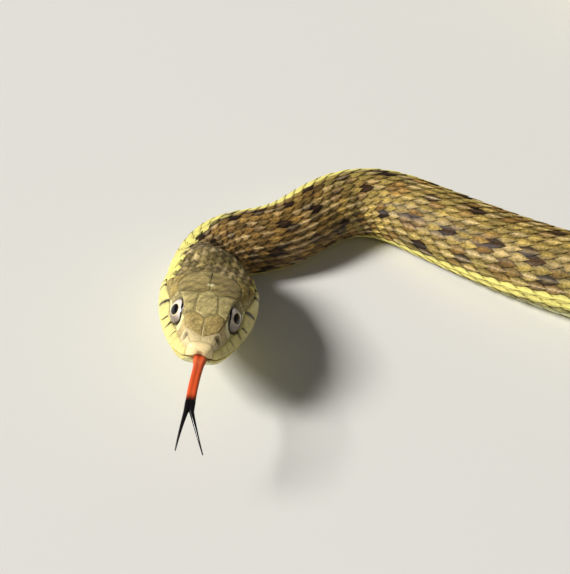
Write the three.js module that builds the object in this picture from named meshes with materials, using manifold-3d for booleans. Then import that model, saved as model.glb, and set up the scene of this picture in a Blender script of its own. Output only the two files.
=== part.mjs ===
// A garter snake lying in loose curves, head lifted a little and tongue out.
// Life size in millimetres, +Z up. The head looks along -Y and the tail trails toward +X.
// The whole animal is measured along its course: s is the distance behind the snout tip.
import * as THREE from 'three';
import { mergeVertices } from 'three/addons/utils/BufferGeometryUtils.js';
import Module from 'manifold-3d';

const wasm = await Module();
wasm.setup();

// Driving sizes
const TOTAL_LENGTH = 720;
const HEAD_LENGTH = 26;
const NECK_END = 60;
const VENT = 560;
const BODY_LENGTHS = 8;
const TAIL_LENGTHS = 2;
const GAP = 0.3;

// Stance: the head points up by HEAD_PITCH and the neck comes level between two places
const HEAD_PITCH = THREE.MathUtils.degToRad(22);
const LEVEL_FROM = 25;
const LEVEL_TO = 38;

// Bends of the course seen from above: where each starts, how long it is, degrees to the right
const BENDS = [
  [15, 10, -14],
  [26, 16, 79],
  [41, 10, -25],
  [53, 19, 73],
  [76, 36, -16],
  [135, 130, -167],
  [290, 140, 182],
  [435, 140, -54],
  [610, 110, 66],
];

// Half width of the body behind the head
const HALF_WIDTH = [
  [26, 5.8], [31, 4.6], [38, 5.1], [50, 5.2], [90, 6.5], [150, 7.7], [250, 8.7],
  [350, 9.0], [450, 8.3], [520, 7.2], [560, 6.2], [600, 4.7], [650, 3.0], [700, 1.4],
  [720, 0.35],
];
const HEIGHT_TO_WIDTH = 0.92;
const BELLY_DEPTH = 0.86; // the belly flat lies this share of the half height below the centre
const BODY_SIDES = 16;
const BODY_STEP = 5.2;
const NECK_STEP = 2.8;

// The head in cross section: named lines that run back from the snout, as [s, size].
// Heights are over the chin, widths are from the midline.
const CENTRE_HEIGHT = 4.6;
const CROWN_HEIGHT = [
  [0, 2.7], [0.5, 3.75], [1.2, 4.25], [2.0, 4.7], [3.2, 5.6], [4.5, 6.4], [6.5, 7.3],
  [9, 8.1], [13, 8.7], [18, 9.15], [22, 9.4],
];
const BROW_WIDTH = [
  [0, 0.15], [0.5, 1.25], [1.2, 1.7], [2.5, 2.15], [5, 2.8], [7.5, 3.35], [10, 3.8],
  [13, 4.5], [18, 4.75], [22, 4.4],
];
const BROW_HEIGHT = [
  [0, 2.7], [0.5, 3.5], [1.2, 4.0], [2.5, 4.75], [5, 6.2], [7.5, 7.1], [10, 7.55],
  [13, 7.75], [18, 8.05], [22, 8.35],
];
const CHEEK_WIDTH = [
  [0, 0.2], [0.5, 1.5], [1.2, 2.1], [2.5, 2.7], [5, 3.3], [7.5, 3.85], [10, 4.75],
  [13, 6.0], [18, 6.95], [22, 6.6],
];
const CHEEK_HEIGHT = [
  [0, 2.7], [0.5, 2.95], [1.2, 3.25], [2.5, 3.75], [5, 4.35], [7.5, 4.7], [10, 5.1],
  [13, 5.6], [18, 6.2], [22, 6.3],
];
const LIP_WIDTH = [
  [0, 0.15], [0.5, 1.5], [1.2, 2.45], [2.5, 3.4], [5, 4.45], [7.5, 5.25], [10, 5.95],
  [14.5, 6.95], [18.5, 7.3], [22, 6.9],
];
const LIP_HEIGHT = [
  [0, 2.7], [0.5, 2.2], [1.2, 1.95], [2.5, 1.85], [5, 1.9], [7.5, 2.0], [10, 2.25],
  [14.5, 3.0], [18.5, 3.9], [22, 4.3],
];
const UNDERLIP_WIDTH = [
  [0, 0.1], [0.5, 1.2], [1.2, 2.2], [2.5, 3.15], [5, 4.2], [7.5, 5.0], [10, 5.7],
  [14.5, 6.7], [18.5, 7.05], [22, 6.6],
];
const UNDERLIP_HEIGHT = [
  [0, 2.7], [0.5, 1.7], [1.2, 1.2], [2.5, 1.05], [5, 1.1], [7.5, 1.25], [10, 1.45],
  [14.5, 2.1], [18.5, 2.8], [22, 3.1],
];
const JAW_WIDTH = [
  [0, 0.05], [0.5, 0.7], [1.2, 1.5], [2.5, 2.3], [5, 3.2], [7.5, 3.9], [10, 4.5],
  [14.5, 5.3], [18.5, 5.3], [22, 4.4],
];
const JAW_HEIGHT = [
  [0, 2.7], [0.5, 1.6], [1.2, 0.85], [2.5, 0.4], [5, 0.25], [7.5, 0.3], [10, 0.35],
  [14.5, 0.5], [18.5, 0.6], [22, 0.5],
];
const CHIN_HEIGHT = [
  [0, 2.7], [0.5, 1.55], [1.2, 0.75], [2.5, 0.2], [5, -0.05], [10, -0.1], [18, 0],
  [22, 0.15],
];
const RAIL_ANGLES = [90, 52, 18, -2, -14]; // where the lines meet the neck's round section
const HEAD_RINGS = 28;
const RAIL_SPLITS = 2;

// Mouth line, as [s, height over the chin], then the seam down behind the jaw
const MOUTH = [
  [-1.5, 1.75], [0.5, 1.65], [2, 1.5], [5, 1.52], [9.7, 1.85], [13, 2.3], [16, 2.9],
  [18.4, 3.5], [19.3, 3.2], [19.9, 2.1], [20.3, 0.6], [20.8, -1.5],
];
const MOUTH_REACH = 10;

// Eyes and nostrils: distance behind the snout, from the midline and over the chin
const EYE_RADIUS = 2.3;
const EYE = [8.5, 2.85, 4.98];
const EYE_SIDES = 24;
const NOSTRIL = [2.1, 2.4, 4.1];
const NOSTRIL_SIZE = [0.42, 0.3, 0.55]; // half sizes along, up and into the head
const NOSTRIL_SIDES = 10;
const NOSTRIL_TURN = THREE.MathUtils.degToRad(-23);

// Tongue
const TONGUE_ROOT = 3.0;
const TONGUE_HALF_WIDTH = 0.8;
const TONGUE_HALF_THICK = 0.38;
const TONGUE_HEIGHT = 1.62;
const TONGUE_STEM = 12;
const TONGUE_TINES = 6.4;
const TONGUE_DROOP = THREE.MathUtils.degToRad(35);
const TONGUE_STEP = 0.8;
const TONGUE_SIDES = 8;
const STEM_NARROWING = 0.12;
const TINE_ROOT = 1.6;
const TINE_OFFSET = 0.3;
const TINE_HALF_WIDTH = 0.34;
const TINE_HALF_THICK = 0.34;
const TINE_TIP = 0.15;
const LEFT_TINE = { side: 1, spread: THREE.MathUtils.degToRad(20), curl: 0.3 };
const RIGHT_TINE = { side: -1, spread: THREE.MathUtils.degToRad(-8), curl: 0.25 };

// Edges shorter than this that a join or cut leaves are closed up
const SHORTEST_EDGE = 0.06;

// Head shields are plates raised on the skin, with a seam of twice SEAM between them.
// Slopes of the skin are taken over STEP_ASIDE to either side.
const PLATE_LIFT = 0.2;
const PLATE_ROOT = 0.3;
const PLATE_BEVEL = 0.06;
const SEAM = 0.13;
const STEP_ASIDE = 0.02;

// Turns a run of ring points into one closed solid, with a flat cap at each end.
function loft(rings) {
  const sides = rings[0].length;
  const points = rings.flat();
  const faces = [];
  const at = (i, k) => i * sides + (k % sides);
  for (let i = 0; i + 1 < rings.length; i += 1) {
    for (let k = 0; k < sides; k += 1) {
      faces.push(at(i, k), at(i + 1, k), at(i + 1, k + 1));
      faces.push(at(i, k), at(i + 1, k + 1), at(i, k + 1));
    }
  }
  const last = rings.length - 1;
  const middle = (ring) => ring
    .reduce((sum, p) => sum.add(p), new THREE.Vector3())
    .divideScalar(sides);
  points.push(middle(rings[0]), middle(rings[last]));
  const front = points.length - 2;
  for (let k = 0; k < sides; k += 1) {
    faces.push(front, at(0, k), at(0, k + 1));
    faces.push(front + 1, at(last, k + 1), at(last, k));
  }
  const geometry = new THREE.BufferGeometry().setFromPoints(points);
  geometry.setIndex(faces);
  return geometry;
}

// Joins and cuts closed geometries.
function solid(geometry) {
  const bare = geometry.clone();
  bare.deleteAttribute('normal');
  bare.deleteAttribute('uv');
  const merged = mergeVertices(bare, 1e-4);
  return new wasm.Manifold(new wasm.Mesh({
    numProp: 3,
    vertProperties: new Float32Array(merged.attributes.position.array),
    triVerts: new Uint32Array(merged.index.array),
  }));
}

// Closes up edges shorter than the limit wherever the surface stays one closed sheet.
function closeShortEdges(points, faces, limit) {
  const around = points.map(() => new Set());
  faces.forEach((face, f) => face.forEach((v) => around[v].add(f)));
  const neighbours = (v) => new Set([...around[v]].flatMap((f) => faces[f]));
  const facing = (corners) => {
    const [a, b, c] = corners.map((v) => points[v]);
    return b.clone().sub(a).cross(c.clone().sub(a));
  };
  const turnsOver = (from, to) => [...around[from]]
    .filter((f) => !faces[f].includes(to))
    .some((f) => {
      const moved = faces[f].map((v) => (v === from ? to : v));
      return facing(faces[f]).dot(facing(moved)) < 0;
    });
  const close = (from, to) => {
    if (points[from].distanceTo(points[to]) >= limit || turnsOver(from, to)) return false;
    const near = neighbours(to);
    if ([...neighbours(from)].filter((v) => near.has(v)).length !== 4) return false;
    [...around[from]].forEach((f) => {
      if (faces[f].includes(to)) {
        faces[f].forEach((v) => around[v].delete(f));
        faces[f] = [];
      } else {
        faces[f] = faces[f].map((v) => (v === from ? to : v));
        around[to].add(f);
      }
    });
    around[from].clear();
    return true;
  };
  let again = true;
  while (again) {
    again = false;
    for (let f = 0; f < faces.length; f += 1) {
      const [a, b, c] = faces[f];
      const edges = faces[f].length ? [[a, b], [b, c], [c, a], [b, a], [c, b], [a, c]] : [];
      again = edges.some(([from, to]) => close(from, to)) || again;
    }
  }
  return faces.filter((face) => face.length);
}

function geometryOf(manifold) {
  const mesh = manifold.getMesh();
  const coordinates = mesh.vertProperties;
  const points = Array.from({ length: coordinates.length / 3 }, (_, i) => (
    new THREE.Vector3().fromArray(coordinates, 3 * i)));
  const faces = Array.from({ length: mesh.triVerts.length / 3 }, (_, i) => (
    [...mesh.triVerts.slice(3 * i, 3 * i + 3)]));
  const geometry = new THREE.BufferGeometry().setFromPoints(points);
  geometry.setIndex(closeShortEdges(points, faces, SHORTEST_EDGE).flat());
  return geometry;
}

// Smooth curve through [place, value] pairs, with the slope shared at each pair.
function along(table, place) {
  const last = table.length - 1;
  const chord = (j) => (table[j + 1][1] - table[j][1]) / (table[j + 1][0] - table[j][0]);
  const slope = (j) => {
    if (j === 0) return chord(0);
    if (j === last) return chord(last - 1);
    const before = table[j][0] - table[j - 1][0];
    const after = table[j + 1][0] - table[j][0];
    return (chord(j - 1) * after + chord(j) * before) / (before + after);
  };
  let i = 0;
  while (i < last - 1 && place >= table[i + 1][0]) i += 1;
  const width = table[i + 1][0] - table[i][0];
  const t = (place - table[i][0]) / width;
  const rise = t * t * (3 - 2 * t);
  return table[i][1] * (1 - rise) + table[i + 1][1] * rise
    + width * (t * (1 - t) ** 2 * slope(i) - t * t * (1 - t) * slope(i + 1));
}

const ease = (s, from, span) => THREE.MathUtils.smoothstep(s, from, from + span);
const heading = (s) => THREE.MathUtils.degToRad(
  BENDS.reduce((sum, [from, span, turn]) => sum + turn * ease(s, from, span), 0),
);
const pitch = (s) => HEAD_PITCH * (1 - ease(s, LEVEL_FROM, LEVEL_TO - LEVEL_FROM));
const backward = (s) => new THREE.Vector3(
  Math.sin(heading(s)) * Math.cos(pitch(s)),
  Math.cos(heading(s)) * Math.cos(pitch(s)),
  -Math.sin(pitch(s)),
);

const halfWidth = (s) => along(HALF_WIDTH, s);
const halfHeight = (s) => HEIGHT_TO_WIDTH * halfWidth(s);

// Centre line, summed in short steps from the snout to the tail tip
const COURSE_STEP = 0.5;
const course = [new THREE.Vector3()];
for (let s = 0; s < TOTAL_LENGTH; s += COURSE_STEP) {
  const step = backward(s + COURSE_STEP / 2).multiplyScalar(COURSE_STEP);
  course.push(course[course.length - 1].clone().add(step));
}
const floorDrop = course[course.length - 1].z;

function centre(s) {
  const inside = THREE.MathUtils.clamp(s, 0, TOTAL_LENGTH);
  const i = Math.min(Math.floor(inside / COURSE_STEP), course.length - 2);
  const p = course[i].clone().lerp(course[i + 1], inside / COURSE_STEP - i);
  p.addScaledVector(backward(inside), s - inside);
  p.z += BELLY_DEPTH * halfHeight(Math.max(s, LEVEL_TO)) - floorDrop;
  return p;
}

// Frame of a cross section: its centre, the animal's left, and its back.
function frame(s, shift = 0) {
  const back = backward(s);
  const left = new THREE.Vector3(Math.cos(heading(s)), -Math.sin(heading(s)), 0);
  const up = new THREE.Vector3().crossVectors(left, back);
  return { origin: centre(s).addScaledVector(back, shift), left, up };
}

const place = ({ origin, left, up }, x, y) => origin.clone()
  .addScaledVector(left, x)
  .addScaledVector(up, y);

// Body section: an ellipse with its underside cut flat, started at the flat's left corner.
function bodyRing(s, shift = 0) {
  const corner = Math.asin(-BELLY_DEPTH);
  const sweep = Math.PI - 2 * corner;
  const here = frame(s, shift);
  return Array.from({ length: BODY_SIDES }, (_, k) => {
    const angle = corner + sweep * (k / (BODY_SIDES - 1));
    return place(here, halfWidth(s) * Math.cos(angle), halfHeight(s) * Math.sin(angle));
  });
}

// A length of body between two places, cut square with half the gap left at each end.
function bodyLength(from, to, step = BODY_STEP, taper = false) {
  const count = Math.ceil((to - from) / step);
  const inner = Array.from({ length: count - 1 }, (_, i) => {
    const s = from + (to - from) * ((i + 1) / count);
    return bodyRing(s);
  });
  const tip = taper ? bodyRing(to) : bodyRing(to, -GAP / 2);
  return loft([bodyRing(from, GAP / 2), ...inner, tip]);
}

// Head lines sampled on the square root of s, which rounds the snout.
function headLine(table, s, atNeck) {
  const rooted = [...table, [HEAD_LENGTH, atNeck]].map(([at, size]) => [Math.sqrt(at), size]);
  return along(rooted, Math.sqrt(Math.max(s, 0)));
}

function headRails(s) {
  const radians = RAIL_ANGLES.map(THREE.MathUtils.degToRad);
  const wide = radians.map((angle) => halfWidth(HEAD_LENGTH) * Math.cos(angle));
  const high = radians.map((angle) => CENTRE_HEIGHT + halfHeight(HEAD_LENGTH) * Math.sin(angle));
  const flat = CENTRE_HEIGHT - BELLY_DEPTH * halfHeight(HEAD_LENGTH);
  const flatCorner = halfWidth(HEAD_LENGTH) * Math.sqrt(1 - BELLY_DEPTH ** 2);
  return [
    [0, headLine(CROWN_HEIGHT, s, high[0])],
    [headLine(BROW_WIDTH, s, wide[1]), headLine(BROW_HEIGHT, s, high[1])],
    [headLine(CHEEK_WIDTH, s, wide[2]), headLine(CHEEK_HEIGHT, s, high[2])],
    [headLine(LIP_WIDTH, s, wide[3]), headLine(LIP_HEIGHT, s, high[3])],
    [headLine(UNDERLIP_WIDTH, s, wide[4]), headLine(UNDERLIP_HEIGHT, s, high[4])],
    [headLine(JAW_WIDTH, s, flatCorner), headLine(JAW_HEIGHT, s, flat)],
    [0, headLine(CHIN_HEIGHT, s, flat)],
  ];
}

// Point of the head's skin: v runs from 0 on the crown over 1 brow, 2 cheek, 3 lip, 4 under
// the lip and 5 jaw to 6 on the chin, and is negative on the animal's right.
function headPoint(s, v, rails = headRails(s)) {
  const turned = Math.abs(v) > 6 ? v - 12 * Math.sign(v) : v;
  const side = turned < 0 ? -1 : 1;
  const rail = (k) => {
    if (k < 0) return [-rails[-k][0], rails[-k][1]];
    if (k > 6) return [-rails[12 - k][0], rails[12 - k][1]];
    return rails[k];
  };
  const k = Math.min(Math.floor(Math.abs(turned)), 5);
  const t = Math.abs(turned) - k;
  const [a, b, c, d] = [rail(k - 1), rail(k), rail(k + 1), rail(k + 2)];
  const spline = (i) => 0.5 * (2 * b[i] + (c[i] - a[i]) * t
    + (2 * a[i] - 5 * b[i] + 4 * c[i] - d[i]) * t * t
    + (3 * b[i] - a[i] - 3 * c[i] + d[i]) * t ** 3);
  return place(frame(s), side * spline(0), spline(1) - CENTRE_HEIGHT);
}

function headRing(s) {
  const rails = headRails(s);
  const count = 6 * RAIL_SPLITS;
  return Array.from({ length: 2 * count }, (_, i) => {
    const v = (i < count ? count - i : i - count) / RAIL_SPLITS;
    return headPoint(s, i < count ? v : -v, rails);
  });
}

function headSkin() {
  const rings = Array.from({ length: HEAD_RINGS }, (_, i) => {
    const s = HEAD_LENGTH * (i / HEAD_RINGS) ** 1.5;
    return headRing(s);
  });
  const shift = backward(HEAD_LENGTH).multiplyScalar(-GAP / 2);
  const end = headRing(HEAD_LENGTH).map((p) => p.add(shift));
  return loft([...rings, end]);
}

// A point given by its distance behind the snout, from the midline and over the chin.
const headPlace = ([s, x, height]) => place(frame(s), x, height - CENTRE_HEIGHT);

// Thin sheet along the mouth line and down behind the jaw, which parts the jaw off.
function mouthCut() {
  const rings = MOUTH.map(([s, height], i) => {
    const before = MOUTH[Math.max(i - 1, 0)];
    const after = MOUTH[Math.min(i + 1, MOUTH.length - 1)];
    const normal = new THREE.Vector2(before[1] - after[1], after[0] - before[0])
      .normalize()
      .multiplyScalar(GAP / 2);
    const above = [s + normal.x, height + normal.y];
    const below = [s - normal.x, height - normal.y];
    return [
      headPlace([below[0], MOUTH_REACH, below[1]]),
      headPlace([above[0], MOUTH_REACH, above[1]]),
      headPlace([above[0], -MOUTH_REACH, above[1]]),
      headPlace([below[0], -MOUTH_REACH, below[1]]),
    ];
  });
  return loft(rings);
}

function eyeBall(side, radius) {
  const [s, x, height] = EYE;
  const at = headPlace([s, side * x, height]);
  return new THREE.SphereGeometry(radius, EYE_SIDES, EYE_SIDES * 2 / 3).translate(at.x, at.y, at.z);
}

function nostril(side) {
  const [s, x, height] = NOSTRIL;
  const at = headPlace([s, side * x, height]);
  const [long, high, deep] = NOSTRIL_SIZE;
  return new THREE.SphereGeometry(1, NOSTRIL_SIDES, NOSTRIL_SIDES - 2)
    .scale(deep, long, high)
    .rotateZ(side * NOSTRIL_TURN)
    .translate(at.x, at.y, at.z);
}

// The tongue leaves the mouth along the head and droops toward its tips.
function tonguePath() {
  const length = TONGUE_ROOT + TONGUE_STEM + TONGUE_TINES;
  const steps = Math.round(length / TONGUE_STEP);
  const at = headPlace([TONGUE_ROOT, 0, TONGUE_HEIGHT]);
  return Array.from({ length: steps + 1 }, (_, i) => {
    const out = Math.max(i * TONGUE_STEP - TONGUE_ROOT, 0);
    const share = out / (length - TONGUE_ROOT);
    const dip = TONGUE_DROOP * share - HEAD_PITCH * (1 - share);
    const here = { out, at: at.clone(), dip };
    at.y -= TONGUE_STEP * Math.cos(dip);
    at.z -= TONGUE_STEP * Math.sin(dip);
    return here;
  });
}

function tongueRing({ at, dip }, x, halfWide, halfThick) {
  const section = {
    origin: at.clone().add(new THREE.Vector3(x, 0, 0)),
    left: new THREE.Vector3(-1, 0, 0),
    up: new THREE.Vector3(0, -Math.sin(dip), Math.cos(dip)),
  };
  return Array.from({ length: TONGUE_SIDES }, (_, k) => {
    const angle = (2 * Math.PI * (k + 0.5)) / TONGUE_SIDES;
    return place(section, halfWide * Math.cos(angle), halfThick * Math.sin(angle));
  });
}

// The stem up to a reach; grown on every side, it is the pocket that holds the root.
function tongueStem(grow = 0, reach = TONGUE_STEM - TONGUE_STEP) {
  const path = tonguePath().filter(({ out }) => out <= reach);
  path[0].at.addScaledVector(backward(0), grow);
  return loft(path.map((here) => {
    const narrowing = STEM_NARROWING * THREE.MathUtils.smoothstep(here.out, 0, TONGUE_STEM);
    return tongueRing(here, 0, TONGUE_HALF_WIDTH - narrowing + grow, TONGUE_HALF_THICK + grow);
  }));
}

// A tine starts inside the stem and lies against the other one as far as the fork.
function tongueTine({ side, spread, curl }) {
  const path = tonguePath().filter(({ out }) => out >= TONGUE_STEM - TINE_ROOT);
  return loft(path.map((here) => {
    const past = Math.max(here.out - TONGUE_STEM, 0);
    const share = past / TONGUE_TINES;
    const x = side * TINE_OFFSET + Math.tan(spread) * past + curl * share ** 2;
    const half = THREE.MathUtils.lerp(TINE_HALF_WIDTH, TINE_TIP, share);
    return tongueRing(here, x, half, Math.min(half, TINE_HALF_THICK));
  }));
}

function tongue() {
  const tines = [LEFT_TINE, RIGHT_TINE].map((tine) => solid(tongueTine(tine)));
  return geometryOf(solid(tongueStem()).add(tines[0]).add(tines[1]));
}

// A raised plate of the head: rows run back from the snout, each from one v to another.
function plate(rows, columns, lift = PLATE_LIFT) {
  const before = (at) => Math.max(at - STEP_ASIDE, 0);
  const metric = (s, v) => headPoint(s, v + STEP_ASIDE)
    .distanceTo(headPoint(s, v - STEP_ASIDE)) / (2 * STEP_ASIDE);
  const last = rows.length - 1;
  const edges = rows.map(([s, from, to], i) => {
    const at = s + (i === 0 ? SEAM : 0) - (i === last ? SEAM : 0);
    return [at, from + SEAM / metric(at, from), to - SEAM / metric(at, to)];
  });
  const middleRow = (edges[0][0] + edges[last][0]) / 2;
  const sheet = (height, inset) => edges.map(([s, from, to], i) => {
    const middle = (from + to) / 2;
    const at = middleRow + (s - middleRow) * (i === 0 || i === last ? 1 - inset : 1);
    return Array.from({ length: columns + 1 }, (_, j) => {
      const v = middle + (from - middle + (to - from) * (j / columns)) * (1 - inset);
      const alongHead = headPoint(at + STEP_ASIDE, v).sub(headPoint(before(at), v));
      const across = headPoint(at, v - STEP_ASIDE).sub(headPoint(at, v + STEP_ASIDE));
      return headPoint(at, v).addScaledVector(alongHead.cross(across).normalize(), height);
    });
  });
  return slab(sheet(lift, PLATE_BEVEL), sheet(-PLATE_ROOT, 0));
}

// Closes two like grids of points, an upper and a lower one, into one thin solid.
function slab(upper, lower) {
  const rows = upper.length;
  const columns = upper[0].length;
  const points = [...upper.flat(), ...lower.flat()];
  const top = (i, j) => i * columns + j;
  const bottom = (i, j) => rows * columns + top(i, j);
  const faces = [];
  for (let i = 0; i + 1 < rows; i += 1) {
    for (let j = 0; j + 1 < columns; j += 1) {
      faces.push(top(i, j), top(i + 1, j + 1), top(i + 1, j));
      faces.push(top(i, j), top(i, j + 1), top(i + 1, j + 1));
      faces.push(bottom(i, j), bottom(i + 1, j), bottom(i + 1, j + 1));
      faces.push(bottom(i, j), bottom(i + 1, j + 1), bottom(i, j + 1));
    }
  }
  const rim = [
    ...Array.from({ length: columns - 1 }, (_, j) => [0, j]),
    ...Array.from({ length: rows - 1 }, (_, i) => [i, columns - 1]),
    ...Array.from({ length: columns - 1 }, (_, j) => [rows - 1, columns - 1 - j]),
    ...Array.from({ length: rows - 1 }, (_, i) => [rows - 1 - i, 0]),
  ];
  rim.forEach(([i, j], n) => {
    const [k, l] = rim[(n + 1) % rim.length];
    faces.push(top(i, j), bottom(i, j), bottom(k, l));
    faces.push(top(i, j), bottom(k, l), top(k, l));
  });
  const geometry = new THREE.BufferGeometry().setFromPoints(points);
  geometry.setIndex(faces);
  return geometry;
}

// Shields that come in pairs, as rows of [s, from v, to v].
const PAIRED_SHIELDS = {
  internasal: { columns: 2, rows: [[0.85, 0, 0.95], [1.4, 0, 1.0], [2.0, 0, 1.05]] },
  prefrontal: { columns: 2, rows: [[2.0, 0, 1.1], [3.1, 0, 1.12], [4.4, 0, 1.08]] },
  supraocular: {
    columns: 2,
    lift: 0.28,
    rows: [[4.6, 0.5, 1.08], [5.8, 0.45, 1.18], [7.2, 0.44, 1.22], [8.6, 0.44, 1.2], [9.9, 0.42, 1.05]],
  },
  parietal: {
    columns: 3,
    rows: [[9.6, 0.42, 1.0], [10.6, 0, 1.05], [12.4, 0, 1.03], [14.3, 0, 0.95], [16.4, 0, 0.5]],
  },
  front_nasal: { columns: 2, rows: [[0.85, 1.0, 2.05], [2.0, 1.08, 2.15]] },
  rear_nasal: { columns: 2, rows: [[2.0, 1.08, 2.15], [3.0, 1.1, 2.2]] },
  loreal: { columns: 2, rows: [[3.0, 1.1, 2.2], [4.5, 1.08, 2.25]] },
  preocular: { columns: 2, rows: [[4.5, 1.08, 2.25], [5.9, 1.2, 2.2]] },
  upper_postocular: { columns: 1, rows: [[10.1, 1.05, 1.45], [11.2, 1.05, 1.45]] },
  middle_postocular: { columns: 1, rows: [[10.1, 1.45, 1.85], [11.2, 1.45, 1.85]] },
  lower_postocular: { columns: 1, rows: [[10.1, 1.85, 2.25], [11.2, 1.85, 2.25]] },
  front_temporal: { columns: 2, rows: [[11.2, 1.08, 2.25], [12.6, 1.05, 2.25], [14.0, 1.0, 2.2]] },
  upper_temporal: { columns: 1, rows: [[14.0, 1.0, 1.6], [15.3, 0.88, 1.55], [16.8, 0.7, 1.45]] },
  lower_temporal: { columns: 1, rows: [[14.0, 1.6, 2.2], [15.3, 1.55, 2.25], [16.8, 1.45, 2.3]] },
  front_chin_shield: { columns: 1, rows: [[2.7, 4.8, 6], [4.8, 4.8, 6], [7.0, 4.85, 6]] },
  rear_chin_shield: { columns: 1, rows: [[7.0, 4.9, 5.95], [9.2, 4.95, 5.9], [11.6, 5.2, 5.75]] },
};

// Shields that cross the midline
const MIDDLE_SHIELDS = {
  rostral: {
    columns: 12,
    rows: [[0.02, -3.42, 3.42], [0.25, -3.42, 3.42], [0.5, -3.42, 3.42], [0.8, -3.42, 3.42]],
  },
  frontal: {
    columns: 2,
    rows: [[4.4, -0.4, 0.4], [6.0, -0.38, 0.38], [8.0, -0.4, 0.4], [9.4, -0.36, 0.36], [10.5, -0.06, 0.06]],
  },
  mental: { columns: 4, rows: [[0.5, 3.68, 8.32], [0.9, 3.68, 8.32], [1.6, 4.9, 7.1]] },
};

// Lip shields: where each seam lies, and the v of their upper and lower edge
const UPPER_LIP_SEAMS = [0.85, 2.4, 4.0, 5.6, 7.4, 9.6, 12.3, 15.6, 18.6];
const UPPER_LIP_SPAN = [2.22, 3.38];
const LOWER_LIP_SEAMS = [1.2, 2.4, 3.8, 5.3, 7.0, 9.0, 11.2, 13.6, 16.2, 18.4];
const LOWER_LIP_SPAN = [3.62, 4.6];

function shields() {
  const pairs = Object.values(PAIRED_SHIELDS).flatMap(({ rows, columns, lift }) => {
    const mirrored = rows.map(([s, from, to]) => [s, -to, -from]);
    return [plate(rows, columns, lift), plate(mirrored, columns, lift)];
  });
  const middle = Object.values(MIDDLE_SHIELDS).map(({ rows, columns }) => plate(rows, columns));
  const lips = [[UPPER_LIP_SEAMS, UPPER_LIP_SPAN], [LOWER_LIP_SEAMS, LOWER_LIP_SPAN]];
  const labials = lips.flatMap(([seams, [above, below]]) => seams.slice(1).flatMap((end, i) => {
    const start = seams[i];
    return [
      plate([[start, above, below], [end, above, below]], 2),
      plate([[start, -below, -above], [end, -below, -above]], 2),
    ];
  }));
  return [...pairs, ...middle, ...labials];
}

// Upper head and lower jaw: one skin with its shields, cut by mouth, eyes, nostrils and tongue.
function headAndJaw() {
  const whole = shields().reduce((sum, shield) => sum.add(solid(shield)), solid(headSkin()));
  const cuts = [
    mouthCut(),
    tongueStem(GAP, TONGUE_ROOT),
    ...[1, -1].flatMap((side) => [eyeBall(side, EYE_RADIUS + GAP), nostril(side)]),
  ];
  const parted = cuts.reduce((rest, cut) => rest.subtract(solid(cut)), whole);
  return parted.decompose()
    .sort((a, b) => b.volume() - a.volume())
    .slice(0, 2)
    .map(geometryOf);
}

const snake = new THREE.Group();
function add(name, geometry, color, roughness) {
  geometry.computeVertexNormals();
  const material = new THREE.MeshStandardMaterial({ color, roughness, metalness: 0 });
  const mesh = new THREE.Mesh(geometry, material);
  mesh.name = name;
  snake.add(mesh);
}

const [upperHead, lowerJaw] = headAndJaw();
add('head', upperHead, 0x8b8266, 0.5);
add('lower_jaw', lowerJaw, 0xd9d3b0, 0.5);
add('eye_left', eyeBall(1, EYE_RADIUS), 0x1a1612, 0.12);
add('eye_right', eyeBall(-1, EYE_RADIUS), 0x1a1612, 0.12);
add('tongue', tongue(), 0xb5402c, 0.35);
add('neck', bodyLength(HEAD_LENGTH, NECK_END, NECK_STEP), 0x6e6242, 0.55);
const bodyStep = (VENT - NECK_END) / BODY_LENGTHS;
for (let i = 0; i < BODY_LENGTHS; i += 1) {
  const from = NECK_END + i * bodyStep;
  add(`body_${i + 1}`, bodyLength(from, from + bodyStep), 0x6a5d3e, 0.55);
}
const tailStep = (TOTAL_LENGTH - VENT) / TAIL_LENGTHS;
for (let i = 0; i < TAIL_LENGTHS; i += 1) {
  const from = VENT + i * tailStep;
  const last = i === TAIL_LENGTHS - 1;
  add(`tail_${i + 1}`, bodyLength(from, from + tailStep, BODY_STEP, last), 0x5f5438, 0.55);
}

// The origin is the middle of the footprint, on the floor.
const bounds = new THREE.Box3().setFromObject(snake);
snake.position.set(-(bounds.min.x + bounds.max.x) / 2, -(bounds.min.y + bounds.max.y) / 2, 0);

export default snake;
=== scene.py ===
"""A garter snake lying in loose curves, head lifted a little and tongue out.

Shapes are worked out in millimetres and made into meshes in metres. Two numbers place a point
of the skin: s is the distance behind the snout tip along the animal, and v runs round its cross
section, 0 on the back, 1 brow, 2 cheek, 3 lip, 4 under the lip, 5 the edge of the belly and 6 its
middle. v is negative on the animal's right. Scales and markings use a share of half the girth
instead of v: 0 on the back, 1 at the belly's middle, negative on the right. The skin's colour is
worked out for each point and kept in the mesh as its tint. A part is made as its points, its
faces grouped by their number of corners, and its tints.
"""

import bpy
import numpy as np
from bpy.props import FloatProperty, FloatVectorProperty, IntProperty, PointerProperty
from mathutils import Matrix, Vector


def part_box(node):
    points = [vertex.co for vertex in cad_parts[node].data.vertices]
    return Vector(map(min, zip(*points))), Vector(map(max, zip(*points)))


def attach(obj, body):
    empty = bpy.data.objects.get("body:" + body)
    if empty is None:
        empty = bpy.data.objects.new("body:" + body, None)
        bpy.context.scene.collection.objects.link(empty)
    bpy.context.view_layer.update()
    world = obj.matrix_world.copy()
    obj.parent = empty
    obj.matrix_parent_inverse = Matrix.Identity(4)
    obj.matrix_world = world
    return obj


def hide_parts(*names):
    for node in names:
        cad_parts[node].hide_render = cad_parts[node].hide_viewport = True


bl_info = {
    "name": "Garter snake",
    "version": (1, 0, 0),
    "blender": (4, 5, 0),
    "location": "View3D > Sidebar > Snake",
    "description": "Builds a life-size garter snake on its solid model",
    "category": "Object",
}

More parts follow.
